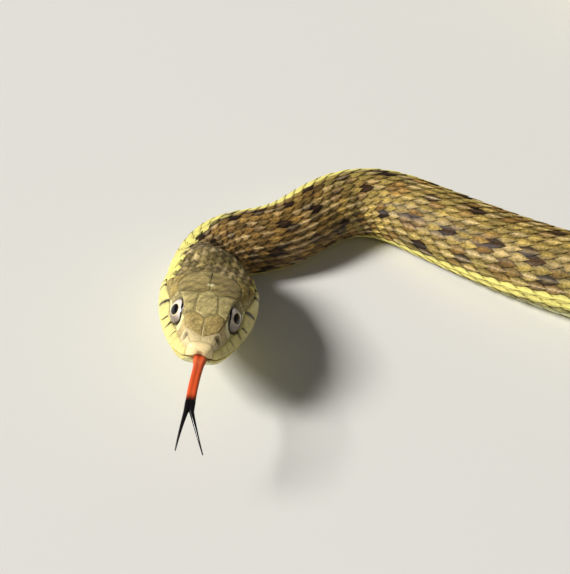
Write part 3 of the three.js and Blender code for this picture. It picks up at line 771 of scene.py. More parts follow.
def front_reach(v, offset, dip):
    """How far back a plate at the mouth's front reaches at v: to where the skin comes down to
    the mouth's line plus offset, which rises by dip in the middle for the tongue."""
    tries = np.linspace(0.02, 1.2, 119)
    s, around = np.broadcast_arrays(tries[:, None], v[None])
    x, high = head_section(s, around)
    limit = along(MOUTH, tries)[:, None] + offset + dip * notch(x, TONGUE_NOTCH)
    below = high + CENTRE_HEIGHT < limit
    return np.where(below.any(0), tries[below.argmax(0)], np.inf)


def rostral(tint):
    """The plate at the snout's tip: rings round the tip, from its middle out to the edge and
    back underneath."""
    around = np.linspace(-LINES, LINES, 64, endpoint=False)
    reach = np.minimum(front_reach(around, 0.1, TONGUE_NOTCH_HEIGHT), ROSTRAL_REACH) - SEAM
    share = np.sqrt(clustered(17)[1:])
    s = share[:, None] * reach[None]
    v = np.broadcast_to(around, s.shape)
    from_edge = (1 - share[:, None]) * reach[None]
    height = PLATE_START + (SHIELD_LIFT - PLATE_START) * rounded(from_edge, TIP_EDGE)
    upper = surface(s, v, height)
    lower = surface(s, v, np.full_like(s, PLATE_ROOT))[::-1]
    tints = tint(s, v, None, from_edge, None)
    # the underside is painted darker, as shade under the plate
    tints = np.concatenate([tints, UNDER_SHADE * tints[::-1]])
    return *closed_rings(np.concatenate([upper, lower])), ring_tints(tints)


def mental(tint):
    """The plate at the chin's tip, from one lip round the middle to the other."""
    b = clustered(25) * 2 - 1
    v = np.where(b < 0, 1, -1) * (LINES - np.abs(b) * (LINES - MENTAL_FROM))
    front = front_reach(v, -0.1, -0.3) + SEAM
    rear = MENTAL_REACH[0] - MENTAL_REACH[1] * b * b
    a = clustered(14)[:, None]
    s = front[None] + a * (rear - front)[None]
    around = np.broadcast_to(v, s.shape)
    from_ends = np.minimum(a, 1 - a) * (rear - front)[None]
    from_edge = np.minimum(from_ends, (1 - np.abs(b))[None] * 2.5)
    height = PLATE_START + (LOWER_LIFT - PLATE_START) * rounded(from_edge, TIP_EDGE)
    lower = surface(s, around, np.full_like(s, PLATE_ROOT))
    points, faces = slabs(surface(s, around, height)[None], lower[None])
    tints = tint(s, around, None, from_edge, None)[None]
    return points, [faces], slab_tints(tints, tints, UNDER_SHADE)


def head_plates(colours):
    """All plates of the head: the paired shields, the one between the eyes, the snout's tip,
    both lips and the chin's tip."""
    plates = []
    for name, (finish, rows) in PAIRED_SHIELDS.items():
        # how much painted shade darkens each shield toward its seams, and how strong its flecks are
        seam, flecks = (0.1, 0.2) if finish in SMOOTH_FINISHES else (0.4, 1.0)
        tint = plain_tint(colours[finish], seam, flecks)
        if finish == "parietal":
            tint = parietal_tint(colours)
        plates += [shield(rows, tint, side, lift=SNOUT_LIFT if finish == "snout" else SHIELD_LIFT,
                          brim=BROW_BRIM if name == "supraocular" else 0.0,
                          count=FINER_POINTS.get(finish, SHIELD_POINTS)) for side in SIDES]
    both = [[(s, -v) for s, v in row[:0:-1]] + row for row in FRONTAL]
    plates.append(shield(both, plain_tint(colours["crown"]), count=FRONTAL_POINTS))
    plates.append(rostral(plain_tint(colours["rostral"], 0.05, 0.2)))

    for front, rear in zip(UPPER_LIP_SEAMS, UPPER_LIP_SEAMS[1:]):
        rows = [[*places[::-1], (s, mouth_v(s) - LIP_GAP)] for s, places, _ in (front, rear)]
        plates += [shield(rows, lip_tint(colours, rear[2]), side) for side in SIDES]
    for seams in zip(LOWER_LIP_SEAMS, LOWER_LIP_SEAMS[1:]):
        rows = [[(s, mouth_v(s) + LIP_GAP), (s + 0.2, LOWER_LIP_TURN), (s + 0.4, LOWER_LIP_DEPTH)]
                for s in seams]
        tint = lip_tint(colours, LOWER_LIP_BAR)
        plates += [shield(rows, tint, side, lift=LOWER_LIFT) for side in SIDES]
    plates.append(mental(plain_tint(colours["belly"], 0.3)))
    return joined(plates)


# Top of the pale stripe in scale rows, as (s, row), its lower end, and the rows where the
# colour under it and the belly's colour start
STRIPE_TOP = [(0, 4.6), (30, 5.0), (38, 6.2), (60, 6.7), (720, 6.7)]
STRIPE_END = 8.5
LOW_FROM = 8.6
BELLY_ROW = 9.7
# Rows of dark spots: middle and half width in scale rows, and where in the period they start;
# the period and a spot's half length are in rings
SPOT_ROWS = ((2.1, 0.95, 0.0), (5.2, 1.05, 0.5))
SPOT_PERIOD = 2.6
SPOT_HALF_LENGTH = 0.5
# Dark notches in the stripe's top behind the head: the first one, the step to the next, and
# their half height in rows and half length
NOTCH_FROM = 19.2
NOTCH_STEP = 3.2
NOTCH_HALF = (0.9, 0.75)


def pale(tint):
    """How pale a colour is, from 0 on brown to 1 on cream."""
    return ease(tint[..., 1], 0.25, 0.35)


def spot_shares(row, ring, side, neck):
    """Shares of the dark spots and of the rust round them: ovals that alternate in rows along
    the side, whose height, size and place vary from one to the next."""
    wave = 0.3 * np.sin(1.9 * ring + side) + 0.2 * np.sin(0.83 * ring + 2 * side)
    spots, rust = np.zeros_like(row), np.zeros_like(row)
    for middle, half, phase in SPOT_ROWS:
        count = ring / SPOT_PERIOD + phase + 0.13 * side
        turn = (count % 1 - 0.5) * SPOT_PERIOD / SPOT_HALF_LENGTH
        size = 0.75 + 0.35 * np.sin(2.3 * np.floor(count) + 5 * middle + side) + 0.45 * neck
        blob = size - ((row + wave - middle) / half) ** 2 - turn ** 2
        spots = np.maximum(spots, ease(blob, 0.0, 0.4))
        rust = np.maximum(rust, ease(blob, -2.2, 2.2))
    return spots, rust


def markings(s, share, colours):
    """Colour of the hide at a share of the half girth. Counted in rows from the back: brown
    ground with two rows of dark spots that alternate, a cream stripe low on the side and a
    pale belly; the neck's upper side is greyer."""
    row = np.abs(share) / table_at(ROWS_END, s) * FULL_ROWS
    neck = ease(s, 22, 9) * (1 - ease(s, 46, 16))
    fade = ease(s, 22, 8)
    on_body = ease(s, 28, 12)
    ground = mix(colours["nape"], colours["ground"], ease(s, 28, 22))
    ground = mix(ground, colours["flank"], ease(row, 2.5, 3.5) * ease(s, 32, 26))
    spots, rust = spot_shares(row, ring_of(s), np.sign(share), neck)
    ground = mix(ground, colours["rust"], np.maximum(0.7 * rust * fade, 0.6 * neck))
    colour = mix(ground, colours["spot"], spots * fade * (1 - 0.2 * ease(s, 70, 50)))
    top = table_at(STRIPE_TOP, s)
    stripe = ease(row, top - 0.35, 0.5) * (1 - ease(row, STRIPE_END, 0.5) * on_body)
    colour = mix(colour, colours["stripe"], stripe)
    turn = ((s - NOTCH_FROM) / NOTCH_STEP + 0.5) % 1 - 0.5
    half_high, half_long = NOTCH_HALF
    notches = ease(1 - ((row - top) / half_high) ** 2 - (turn * NOTCH_STEP / half_long) ** 2, 0, 0.4)
    colour = mix(colour, colours["spot"], notches * ease(s, 17, 2) * (1 - ease(s, 38, 10)))
    colour = mix(colour, colours["low"], ease(row, LOW_FROM, 0.5) * on_body)
    return mix(colour, colours["belly"], ease(row, BELLY_ROW, 0.5))


# Body scales: where they start behind the shields, as (v, s), and where the throat ends
SCALES_START = [
    (0, 15.9), (0.5, 15.7), (1, 16.2), (1.5, 16.3), (2.2, 16.9), (3, 18.8), (3.6, 19.0),
    (4.6, 19.0), (4.72, 7.5), (5.3, 12.2), (5.7, 9.9), (6, 7.4),
]
THROAT_END = 24.0
SCALE_FRONT_RING = 8.0
SIDE_ROWS = 15
# A scale's grid: shares of its length, its width there, shares of its half width, keel there
SCALE_ALONG = np.array([0, 0.22, 0.48, 0.72, 0.9, 1.0])
SCALE_OUTLINE = np.array([0.55, 0.86, 1.0, 0.86, 0.52, 0.2])
SCALE_ACROSS = np.array([-1, -0.55, -0.14, 0, 0.14, 0.55, 1.0])
KEEL_ACROSS = np.array([0, 0, 0.12, 1, 0.12, 0, 0])
SCALE_THICK = 0.16
SCALE_SEED = 11


def scale_places(first, last):
    """Roots of the scales of some rings: every second row is half a ring further back."""
    ring, row = np.meshgrid(np.arange(first, last), np.arange(1 - SIDE_ROWS, SIDE_ROWS + 1),
                            indexing="ij")
    s = ring_place(ring + SCALE_FRONT_RING + 0.5 * (row % 2))
    end = table_at(ROWS_END, s)
    step = end / (table_at(ROWS, s) + 0.5)
    share = row * step
    start = table_at(SCALES_START, np.abs(v_at(s, share)))
    on_side = (np.abs(share) <= end) | ((s < THROAT_END) & (np.abs(share) <= 1))
    keep = on_side & (s + 0.3 * ring_step(s) >= start) & (s < TOTAL_LENGTH - 2.5)
    return s[keep], share[keep], step[keep], ring[keep], row[keep]


def scale_faces():
    """Faces of one scale: top, underside and two long walls, then the two end caps."""
    rows, columns = len(SCALE_ALONG), len(SCALE_ACROSS)
    top = np.arange(rows * columns).reshape(rows, columns)
    low = rows * columns + np.arange(2 * rows).reshape(rows, 2)
    upper = grid_quads(rows, columns)
    under = np.stack([low[:-1, 1], low[:-1, 0], low[1:, 0], low[1:, 1]], -1)
    left = np.stack([low[:-1, 0], top[:-1, 0], top[1:, 0], low[1:, 0]], -1)
    right = np.stack([top[:-1, -1], low[:-1, 1], low[1:, 1], top[1:, -1]], -1)
    front = np.concatenate([top[0, ::-1], low[0]])[None]
    rear = np.concatenate([top[-1], low[-1, ::-1]])[None]
    return [np.concatenate([upper, under, left, right]), np.concatenate([front, rear])]


def scale_corners():
    """Places of a scale's face corners on its patch: the underside, the left wall, the top and
    the right wall lie side by side, with an end cap in front and one behind."""
    rows, columns = len(SCALE_ALONG), len(SCALE_ACROSS)
    up = 0.14 + 0.72 * np.arange(rows) / (rows - 1)
    aside = 0.24 + 0.62 * np.arange(columns) / (columns - 1)

    def strip(left, right):
        a, b = up[:-1], up[1:]
        corners = [(left, a), (right, a), (right, b), (left, b)]
        return np.stack([np.stack(np.broadcast_arrays(u, v), -1) for u, v in corners], 1)

    u, v = np.meshgrid(aside, up)
    top = np.stack([u, v], -1).reshape(-1, 2)[grid_quads(rows, columns)]
    bow = 0.02 * np.sin(np.pi * np.arange(columns) / (columns - 1))
    ends = []
    for line, sign, order in ((0.1, 1, -1), (0.9, -1, 1)):
        high = np.stack([aside, line + sign * bow], -1)[::order]
        low = [(aside[0], line - 0.07 * sign), (aside[-1], line - 0.07 * sign)][::-order]
        ends.append(np.concatenate([high, low]))
    sides = [strip(0.16, 0.04), strip(0.18, 0.22), strip(0.88, 0.94)]
    return [np.concatenate([top, *sides]), np.stack(ends)]


def scale_tints(s, middle, share, random, colours):
    """Tints of the scales' upper sides: the markings, with painted shade at the root, the sides
    and the tip and a painted highlight on the keel, varied from scale to scale, and with a pale
    streak of painted sheen on some."""
    a, b = SCALE_ALONG[None, :, None], SCALE_ACROSS[None, None]
    tint = markings(np.broadcast_to(middle, share.shape), share, colours)
    cream = pale(tint)
    on_nape = 1 - ease(s, 26, 20)
    # painted shade at the root, the sides and the tip, weaker on pale scales, and a painted highlight
    # along the keel
    shade = (0.55 - 0.2 * on_nape) * np.abs(b) ** 2.5 + 0.5 * (1 - ease(a, 0.0, 0.45))
    shade = shade + (0.25 + 0.5 * on_nape * random[1]) * ease(a, 0.7, 0.3)
    shade = shade - 0.35 * KEEL_ACROSS[None, None] * ease(a, 0.1, 0.3)
    shade = 1 - shade * (1 - 0.62 * cream)
    varied = 1 + (1.0 - 0.5 * ease(s, 40, 40)) * (random[2] - 0.5) * (1 - 0.9 * cream)
    # a pale streak of painted sheen along the middle of some scales
    bloom = 0.6 * ease(random[3], 0.45, 0.4) * (1 - cream) * (1 - ease(s, 130, 60))
    tint = mix(tint, colours["bloom"], bloom * notch(b, 0.6 - 0.2 * ease(s, 26, 10)))
    return tint * (shade * varied)[..., None]


def scale_rows(first, last, sizes, colours):
    """Solid scales of some rings, and the places of their corners on the map. A scale is a
    tapered leaf over a, back along it, and b, across it: its height rises with a, so that the
    root is sunk and the tip lies over the next scales, falls with the square of b, and has a
    keel along the middle."""
    s, share, step, ring, row = scale_places(first, last)
    count = len(s)
    random = np.random.default_rng(first + SCALE_SEED).random((4, count))[..., None, None]
    cell = np.stack([row - row.min(), ring - ring.min()], -1)
    cells = cell.max(0) + 1
    s, share, step, row = (spread(x) for x in (s, share, step, row))
    size = ring_step(s) / RING_FULL
    long = ring_step(s) * sizes.scale_length * (0.97 + 0.06 * random[0])
    keel = sizes.keel * (1 - 0.7 * ease(np.abs(row), 7, 2)) * (0.35 + 0.65 * ease(s, 20, 15))

    a, b = SCALE_ALONG[None, :, None], SCALE_ACROSS[None, None]
    at = s + long * (a - 0.12 * a * b * b)
    aside = share + step * sizes.scale_width * b * SCALE_OUTLINE[None, :, None]
    rise = -0.32 + (0.32 + sizes.tip_lift) * a ** 0.85 - 0.1 * b * b
    ridge = KEEL_ACROSS[None, None] * np.sin(np.pi * (0.1 + 0.8 * a))
    height = size * (rise + keel * ridge + 0.04 * random[1] * a)
    upper = surface(at, v_at(at, aside), height)
    upper[..., 2] = np.maximum(upper[..., 2], 0)
    edge_at, edge_aside, edge_height = (x[..., [0, -1]] for x in (at, aside, height))
    lower = surface(edge_at, v_at(edge_at, edge_aside), edge_height - SCALE_THICK * size)
    points = np.concatenate([upper.reshape(count, -1, 3), lower.reshape(count, -1, 3)], 1)

    tint = scale_tints(s, s + 0.35 * long, share + 0.35 * (aside - share), random, colours)
    faces = [repeated(f, count, points.shape[1]) for f in scale_faces()]
    corners = [((cell[:, None, None] + c[None]) / cells).reshape(-1, 2) for c in scale_corners()]
    # the scales' lower edges are painted at half their tint, as shade under them
    return points.reshape(-1, 3), faces, slab_tints(tint, tint[..., [0, -1], :], 0.5), corners


# Plates of the underside: where they start, how much longer than a ring's step they are and
# the last one before the vent is, and how far they stay clear of the last scale rows
BELLY_FROM = 24.0
BELLY_OVERLAP = 1.28
VENT_PLATE = 1.5
BELLY_INSET = 0.03
BELLY_COLUMNS = 21
TAIL_COLUMNS = 8
PLATE_ALONG = np.array([0, 0.35, 0.7, 0.93, 1.0])
PLATE_THICK = 0.14


def crossing_plates(s, long, start, end, columns, colours):
    """Plates from one share of the half girth to another, over a, back along a plate, and b,
    across it: the height rises with a, so that each lies over the next, and falls near both
    ends and at the rear edge."""
    a, b = PLATE_ALONG[None, :, None], np.linspace(0, 1, columns)[None, None]
    at, share = np.broadcast_arrays(
        spread(s) + spread(long) * a, spread(start) + spread(end - start) * b)
    size = ring_step(at) / RING_FULL
    height = size * (-0.34 + 0.3 * a - 0.12 * (2 * b - 1) ** 8 - 0.08 * ease(a, 0.93, 0.07))
    v = v_at(at, share)
    points, faces = slabs(surface(at, v, height), surface(at, v, height - PLATE_THICK * size))
    tint = markings(at, wrapped(share), colours)
    # darker toward the rear edge and toward the front, which lies under the plate ahead: painted
    # shade, and in part the plates' own dark edges; the underside is painted at half the tint, as
    # shade
    tint = tint * (1 - 0.4 * ease(a, 0.8, 0.2) - 0.3 * (1 - ease(a, 0, 0.3)))[..., None]
    return points, [faces], slab_tints(tint, tint, 0.5)


def belly_plates(colours):
    """Closed plates across the belly up to the vent, one to a ring, with a longer last one."""
    s = ring_place(np.arange(np.ceil(ring_of(BELLY_FROM)), np.floor(ring_of(VENT))))
    long = ring_step(s) * BELLY_OVERLAP
    long[-1] *= VENT_PLATE
    start = table_at(ROWS_END, s) - BELLY_INSET
    end = 2 - table_at(ROWS_END, s) + BELLY_INSET
    return crossing_plates(s, long, start, end, BELLY_COLUMNS, colours)


def tail_plates(colours):
    """Paired plates under the tail, the two sides half a ring apart."""
    rings = np.arange(np.ceil(ring_of(VENT)) + 1, np.floor(ring_of(TOTAL_LENGTH - 4)))
    parts = []
    for side in SIDES:
        s = ring_place(rings + (0.5 if side < 0 else 0))
        long = ring_step(s) * BELLY_OVERLAP
        edges = (table_at(ROWS_END, s) - BELLY_INSET, np.ones_like(s))
        start, end = (side * edge for edge in edges[::side])
        parts.append(crossing_plates(s, long, start, end, TAIL_COLUMNS, colours))
    return joined(parts)


# The skin: how far it lies under the smooth form on the head and on the body, its rings on the
# head and the step between those behind it, where the mouth ends, its depth and width, how
# deep the skin is sunk at the eyes and the nostrils, and its columns from back to belly
HEAD_DEPTH = -0.1
BODY_DEPTH = 0.3
HEAD_RINGS = 130
SKIN_STEP = 1.2
MOUTH_END = 18.4
MOUTH_DEPTH = 0.4
MOUTH_WIDTH = 0.13
EYE_DEPTH = 0.3
NOSTRIL_SINK = 0.55
SKIN_V = np.concatenate([np.linspace(0, 3, 20, endpoint=False),
                         np.linspace(3, 4.2, 20, endpoint=False), np.linspace(4.2, 6, 10)])


def skin_tint(s, v, above_mouth, dark, colours):
    """Colour between the plates and scales, darkened as painted shade: the plates' own a little
    darker on the head, the markings much darker behind it, near black where it is sunk, and a
    dark red, the tongue's colour in painted shade, in the tongue's notch."""
    hide = markings(s, share_at(s, v), colours)
    # painted shade between the parts: the hide between the scales darker, less on pale hide, and the
    # plates' colours darker between the head's plates
    hide = hide * (0.4 + 0.45 * pale(hide))[..., None]
    plated = mix(colours["crown"] * 0.62, colours["snout"] * 0.85, 1 - ease(s, 2.6, 1.2))
    plated = mix(plated, colours["lip"] * 0.8, ease(np.abs(v), 2.2, 0.3))
    plated = mix(plated, colours["belly"] * 0.8, ease(np.abs(v), 4.5, 0.4))
    plated = mix(plated, colours["pale"], pale_spot(s, v))
    tint = mix(plated, hide, ease(s, 15, 4))
    # painted shade, near black, where the skin is sunk
    tint = mix(tint, tint * 0.08, dark)
    # the tongue's red in painted shade inside the notch
    in_notch = notch(head_section(s, v)[0], TONGUE_NOTCH)
    in_notch = in_notch * (1 - ease(above_mouth, TONGUE_NOTCH_HEIGHT, 0.2))
    in_notch = in_notch * (1 - ease(s, 1.2, 0.5)) * ease(above_mouth, -0.4, 0.2)
    return mix(tint, colours["tongue"] * 0.3, in_notch)


def skin(colours):
    """One closed skin from the snout's tip to the tail's: rings closer together on the head,
    sunk along the mouth, round the eyes and at the nostrils."""
    head = HEAD_LENGTH * np.linspace(0.012, 1, HEAD_RINGS) ** 1.5
    body = np.arange(HEAD_LENGTH + SKIN_STEP, TOTAL_LENGTH - 0.5, SKIN_STEP)
    rings = np.concatenate([head, body, [TOTAL_LENGTH - 0.3]])
    around = np.concatenate([-SKIN_V[-2:0:-1], SKIN_V])
    s, v = np.broadcast_arrays(rings[:, None], around[None])
    in_mouth = np.minimum(s, MOUTH_END)
    above_mouth = section_height(in_mouth, v) - along(MOUTH, in_mouth)
    mouth = notch(above_mouth, MOUTH_WIDTH) * (1 - ease(s, MOUTH_END - 0.8, 0.8))
    place = skin_point(s, v)
    near_eye = sum(1 - ease(np.linalg.norm(place - eye_middle(side), axis=-1),
                            EYE_BALL_RADIUS, 0.2) for side in SIDES)
    nostril = nostril_dent(s, v)
    depth = mix(HEAD_DEPTH, BODY_DEPTH * (ring_step(s) / RING_FULL), ease(s, 14, 5))
    depth = depth + MOUTH_DEPTH * mouth + EYE_DEPTH * near_eye + NOSTRIL_SINK * nostril
    # where the skin is sunk, along the mouth, round the eyes and at the nostrils, it is painted near
    # black as shade
    tint = skin_tint(s, v, above_mouth, np.clip(mouth + near_eye + nostril, 0, 1), colours)
    ends = np.stack([tint[0].mean(0), tint[-1].mean(0)])
    return *closed_rings(surface(s, v, -depth)), np.concatenate([tint.reshape(-1, 3), ends])


# Eyes: how far outward, ahead and up they look, the edges of pupil and iris as shares of the
# radius, and the width and height over the skin of the dark rim painted as shade where the
# skin meets the eye
EYE_LOOK = (0.78, 0.5, 0.37)
PUPIL = 0.33
IRIS = 0.81
EYE_SHADE_WIDTH = 0.16
EYE_SHADE_LEVEL = 0.15


def sight_frame(side):
    """Unit vectors along the line an eye looks along and two square to it."""
    _, left, up = section_frame(np.array(EYE_BALL[0]))
    ahead = -backward(np.array(EYE_BALL[0]))
    look = side * EYE_LOOK[0] * left + EYE_LOOK[1] * ahead + EYE_LOOK[2] * up
    look /= np.linalg.norm(look)
    first = np.cross(look, up)
    first /= np.linalg.norm(first)
    return look, first, np.cross(look, first)


def iris_tint(from_middle, turn, colours):
    """Black pupil, thin pale ring, pale iris with streaks and a darker outer and lower part,
    and black past the iris, by the share of the radius from the middle."""
    streaks = 0.88 + 0.12 * np.sin(23 * turn + 3 * np.sin(5 * turn)) * np.ones_like(from_middle)
    upward = np.sin(turn) * from_middle
    shaded = np.maximum(ease(from_middle, 0.55, 0.2), 0.8 * (1 - ease(upward, -0.5, 0.55)))
    iris = mix(colours["iris"], colours["iris_edge"], shaded) * streaks[..., None]
    iris = mix(colours["iris_ring"], iris, ease(from_middle, PUPIL + 0.02, 0.06))
    tint = mix(colours["pupil"], iris, ease(from_middle, PUPIL, 0.03))
    return mix(tint, colours["pupil"], ease(from_middle, IRIS, 0.1))


def eye(side, colours):
    """A ball in rings round the line it looks along, with a dark rim of painted shade where the
    skin round the eye is near. The squared distance of two points is the sum of their squares
    less twice their dot product."""
    here = eye_middle(side)
    look, first, second = sight_frame(side)
    out = np.concatenate([np.linspace(0.02, 1.25, 56), np.linspace(1.3, 3.1, 24)])[:, None]
    turn = np.linspace(0, 2 * np.pi, 72, endpoint=False)[None]
    around = first * np.cos(turn)[..., None] - second * np.sin(turn)[..., None]
    aim = np.sin(out)[..., None] * around + np.cos(out)[..., None] * look
    points, polygons = closed_rings(here + EYE_BALL_RADIUS * aim)
    from_middle = np.sin(np.minimum(out, np.pi / 2)) * np.ones_like(turn)
    tint = ring_tints(iris_tint(from_middle, turn, colours))
    s, v = np.meshgrid(np.arange(4.5, 13, 0.12), np.arange(0.6, 3, 0.05))
    lid = surface(s.ravel(), side * v.ravel(), EYE_SHADE_LEVEL) - here
    from_eye = points - here
    squares = (from_eye ** 2).sum(1)[:, None] + (lid ** 2).sum(1)[None] - 2 * from_eye @ lid.T
    near = np.sqrt(np.maximum(squares.min(1), 0))
    # the rim of painted shade, in the pupil's colour, where the skin is near
    rim = 1 - ease(near, EYE_SHADE_WIDTH * 0.6, EYE_SHADE_WIDTH * 0.4)
    return points, polygons, mix(tint, colours["pupil"], rim)


# Tongue: it leaves the mouth along the head and droops toward its two tips. A tip is its side,
# the angle it spreads by and how far it curls aside
TONGUE_ROOT = 3.0
TONGUE_HALF_WIDTH = 0.84
TONGUE_ASIDE = 0.25
TONGUE_HALF_THICK = 0.38
TONGUE_HEIGHT = 1.62
TONGUE_STEM = 12.0
TONGUE_TINES = 6.4
TONGUE_DROOP = np.radians(35)
TONGUE_STEP = 0.2
TINES = ((1, np.radians(20), 0.3), (-1, np.radians(-8), 0.25))
TINE_ASIDE = 0.36
TINE_HALF = (0.42, 0.1)


def tongue_path(start, end):
    """Middle of the tongue between two distances from the mouth, and its dip there, which
    turns from the head's own pitch to the droop at the tips."""
    length = TONGUE_STEM + TONGUE_TINES
    out = np.arange(-TONGUE_ROOT, length + TONGUE_STEP / 2, TONGUE_STEP)
    share = np.clip(out, 0, None) / length
    dip = TONGUE_DROOP * share - HEAD_PITCH * (1 - share)
    steps = np.stack([np.zeros_like(dip), -np.cos(dip), -np.sin(dip)], -1) * TONGUE_STEP
    middle = head_place(TONGUE_ROOT, 0, TONGUE_HEIGHT) + np.concatenate(
        [np.zeros((1, 3)), np.cumsum(steps, 0)[:-1]])
    inside = (out >= start - 1e-6) & (out <= end + 1e-6)
    return out[inside], middle[inside], dip[inside]


def tongue_tube(out, middle, dip, aside, half_wide, half_thick, colours):
    """Rings of an ellipse across the path, with a groove along the top of the stem, which is a
    bell over the turn round the ring, painted a little darker as shade; black toward the tips."""
    turn = np.linspace(0, 2 * np.pi, 28, endpoint=False)[None]
    left = np.array([1.0, 0, 0])
    up = np.stack([np.zeros_like(dip), -np.sin(dip), np.cos(dip)], -1)
    groove = 1 - 0.3 * notch(turn - np.pi / 2, 0.35) * (1 - ease(out, 8, 6))[:, None]
    x = aside[:, None] + half_wide[:, None] * np.cos(turn)
    y = half_thick[:, None] * np.sin(turn) * groove
    rings = middle[:, None] + x[..., None] * left + y[..., None] * up[:, None]
    black = ease(out, TONGUE_STEM - 3.2, 1.6)[:, None] * np.ones_like(turn)
    # the groove is painted a little darker, as shade
    tint = mix(colours["tongue"], colours["tongue_tip"], black) * (0.8 + 0.2 * groove)[..., None]
    return *closed_rings(rings), ring_tints(tint)


def tongue(colours):
    """The stem and the two tines that start inside it."""
    out, middle, dip = tongue_path(-TONGUE_ROOT, TONGUE_STEM - 0.4)
    wide = TONGUE_HALF_WIDTH - 0.1 * ease(out, 0, 5) + 0.15 * (1 - ease(out, 0.5, 2))
    thick = TONGUE_HALF_THICK + 0.3 * (1 - ease(out, -0.5, 3))
    end = 1 - 0.5 * ease(out, TONGUE_STEM - 1.0, 0.8)
    aside = TONGUE_ASIDE * (1 - ease(out, 1, 8))
    parts = [tongue_tube(out, middle, dip, aside, wide * end, thick * end, colours)]
    out, middle, dip = tongue_path(TONGUE_STEM - 1.6, TONGUE_STEM + TONGUE_TINES)
    past = np.clip(out - TONGUE_STEM, 0, None)
    share = past / TONGUE_TINES
    half = TINE_HALF[0] + (TINE_HALF[1] - TINE_HALF[0]) * share ** 0.7
    for side, angle, curl in TINES:
        aside = side * TINE_ASIDE + np.tan(angle) * past + curl * share ** 2
        parts.append(tongue_tube(out, middle, dip, aside, half, half * 0.95, colours))
    return joined(parts)


def linear(colour):
    """Light in a colour given as it shows on a screen."""
    colour = np.asarray(colour, float)
    return np.where(colour <= 0.04045, colour / 12.92, ((colour + 0.055) / 1.055) ** 2.4)


def colour_property(name, description, *screen):
    """A colour that a user can change, given as it shows on a screen."""
    return FloatVectorProperty(name=name, description=description, subtype="COLOR_GAMMA",
                               default=screen, min=0, max=1)


class SnakeColours(bpy.types.PropertyGroup):
    """Colours of the animal and of the floor"""
    ground: colour_property("Back", "Ground colour of the back", 0.63, 0.53, 0.27)
    nape: colour_property("Nape", "Upper side of the neck", 0.55, 0.48, 0.29)
    flank: colour_property("Flank", "Side between the spots", 0.62, 0.54, 0.27)
    spot: colour_property("Spots", "Dark spots of the back", 0.19, 0.12, 0.055)
    rust: colour_property("Rust", "Red brown round the spots", 0.5, 0.34, 0.15)
    # A pale streak of painted sheen on some scales
    bloom: colour_property("Bloom", "Pale streak on some scales behind the head", 0.78, 0.68, 0.5)
    stripe: colour_property("Stripe", "Stripe low on the side", 0.91, 0.86, 0.48)
    low: colour_property("Lowest rows", "Scales under the stripe", 0.6, 0.58, 0.34)
    belly: colour_property("Belly", "Belly plates", 0.87, 0.86, 0.62)
    lore: colour_property("Lore", "Scale between nostril and eye", 0.74, 0.64, 0.42)
    crown: colour_property("Crown", "Shields of the crown", 0.7, 0.63, 0.41)
    prefrontal: colour_property("Brow", "Shields between snout and crown", 0.65, 0.56, 0.34)
    parietal: colour_property("Rear crown", "Rear shields of the crown", 0.64, 0.56, 0.34)
    temple: colour_property("Temple", "Scales behind the eye", 0.63, 0.54, 0.29)
    snout: colour_property("Snout", "Shields of the snout", 0.84, 0.755, 0.55)
    rostral: colour_property("Snout tip", "Shield at the tip of the snout", 0.95, 0.85, 0.62)
    pale: colour_property("Eye patch", "Pale scales next to the eye", 0.88, 0.84, 0.6)
    lip: colour_property("Lip", "Labials", 0.86, 0.8, 0.49)
    lip_edge: colour_property("Lip edge", "Lower edge of the labials", 0.88, 0.83, 0.53)
    bar: colour_property("Lip bars", "Dark bars between the labials", 0.06, 0.04, 0.02)
    iris: colour_property("Iris", "Inner part of the iris", 0.95, 0.89, 0.84)
    iris_edge: colour_property("Iris edge", "Outer part of the iris", 0.38, 0.29, 0.17)
    iris_ring: colour_property("Iris ring", "Thin ring round the pupil", 0.95, 0.85, 0.6)
    # The pupil's colour is also that of the eye's rim of painted shade
    pupil: colour_property("Pupil", "Pupil and eye rim", 0.015, 0.01, 0.01)
    tongue: colour_property("Tongue", "Tongue", 0.87, 0.34, 0.16)
    tongue_tip: colour_property("Tongue tips", "Tips of the tongue", 0.05, 0.035, 0.04)
    floor: colour_property("Floor", "Floor", 0.88, 0.87, 0.84)


class SnakeSizes(bpy.types.PropertyGroup):
    """Sizes of the scales, number of their pieces, and power of the lights"""
    scale_length: FloatProperty(
        name="Scale length", description="Length of a scale in rings", default=1.45, min=1, max=2)
    scale_width: FloatProperty(
        name="Scale width", description="Half width of a scale in rows", default=0.62, min=0.3, max=1)
    keel: FloatProperty(
        name="Keel", description="Height of the keel in mm on the widest body", default=0.16, min=0)
    tip_lift: FloatProperty(
        name="Tip lift", description="Height of a scale's tip over the solid form, in mm on the "
        "widest body", default=0.1)
    pieces: IntProperty(
        name="Scale pieces", description="Pieces that the body's scales are split into", default=4,
        min=2, max=12)
    key_light: FloatProperty(
        name="Key light", description="Power of the main light", default=540.0, min=0, unit="POWER")
    fill_light: FloatProperty(
        name="Fill light", description="Power of the light from the other side", default=8.0, min=0,
        unit="POWER")


def colour_table(scene):
    """The scene's snake colours as light, by name."""
    group = scene.snake_colours
    return {name: linear(getattr(group, name)) for name in SnakeColours.__annotations__}


def new_material(name):
    """A material, its node tree and its shader."""
    material = bpy.data.materials.new(name)
    material.use_nodes = True
    return material, material.node_tree, material.node_tree.nodes["Principled BSDF"]


def set_inputs(tree, node, inputs):
    """Sets a node's inputs by name, each to a value or to another node's output."""
    for name, value in inputs.items():
        if isinstance(value, bpy.types.NodeSocket):
            tree.links.new(value, node.inputs[name])
        else:
            node.inputs[name].default_value = value


def tint_node(tree):
    """Colour of the piece's own tint."""
    node = tree.nodes.new("ShaderNodeAttribute")
    node.attribute_name = "Tint"
    return node.outputs["Color"]


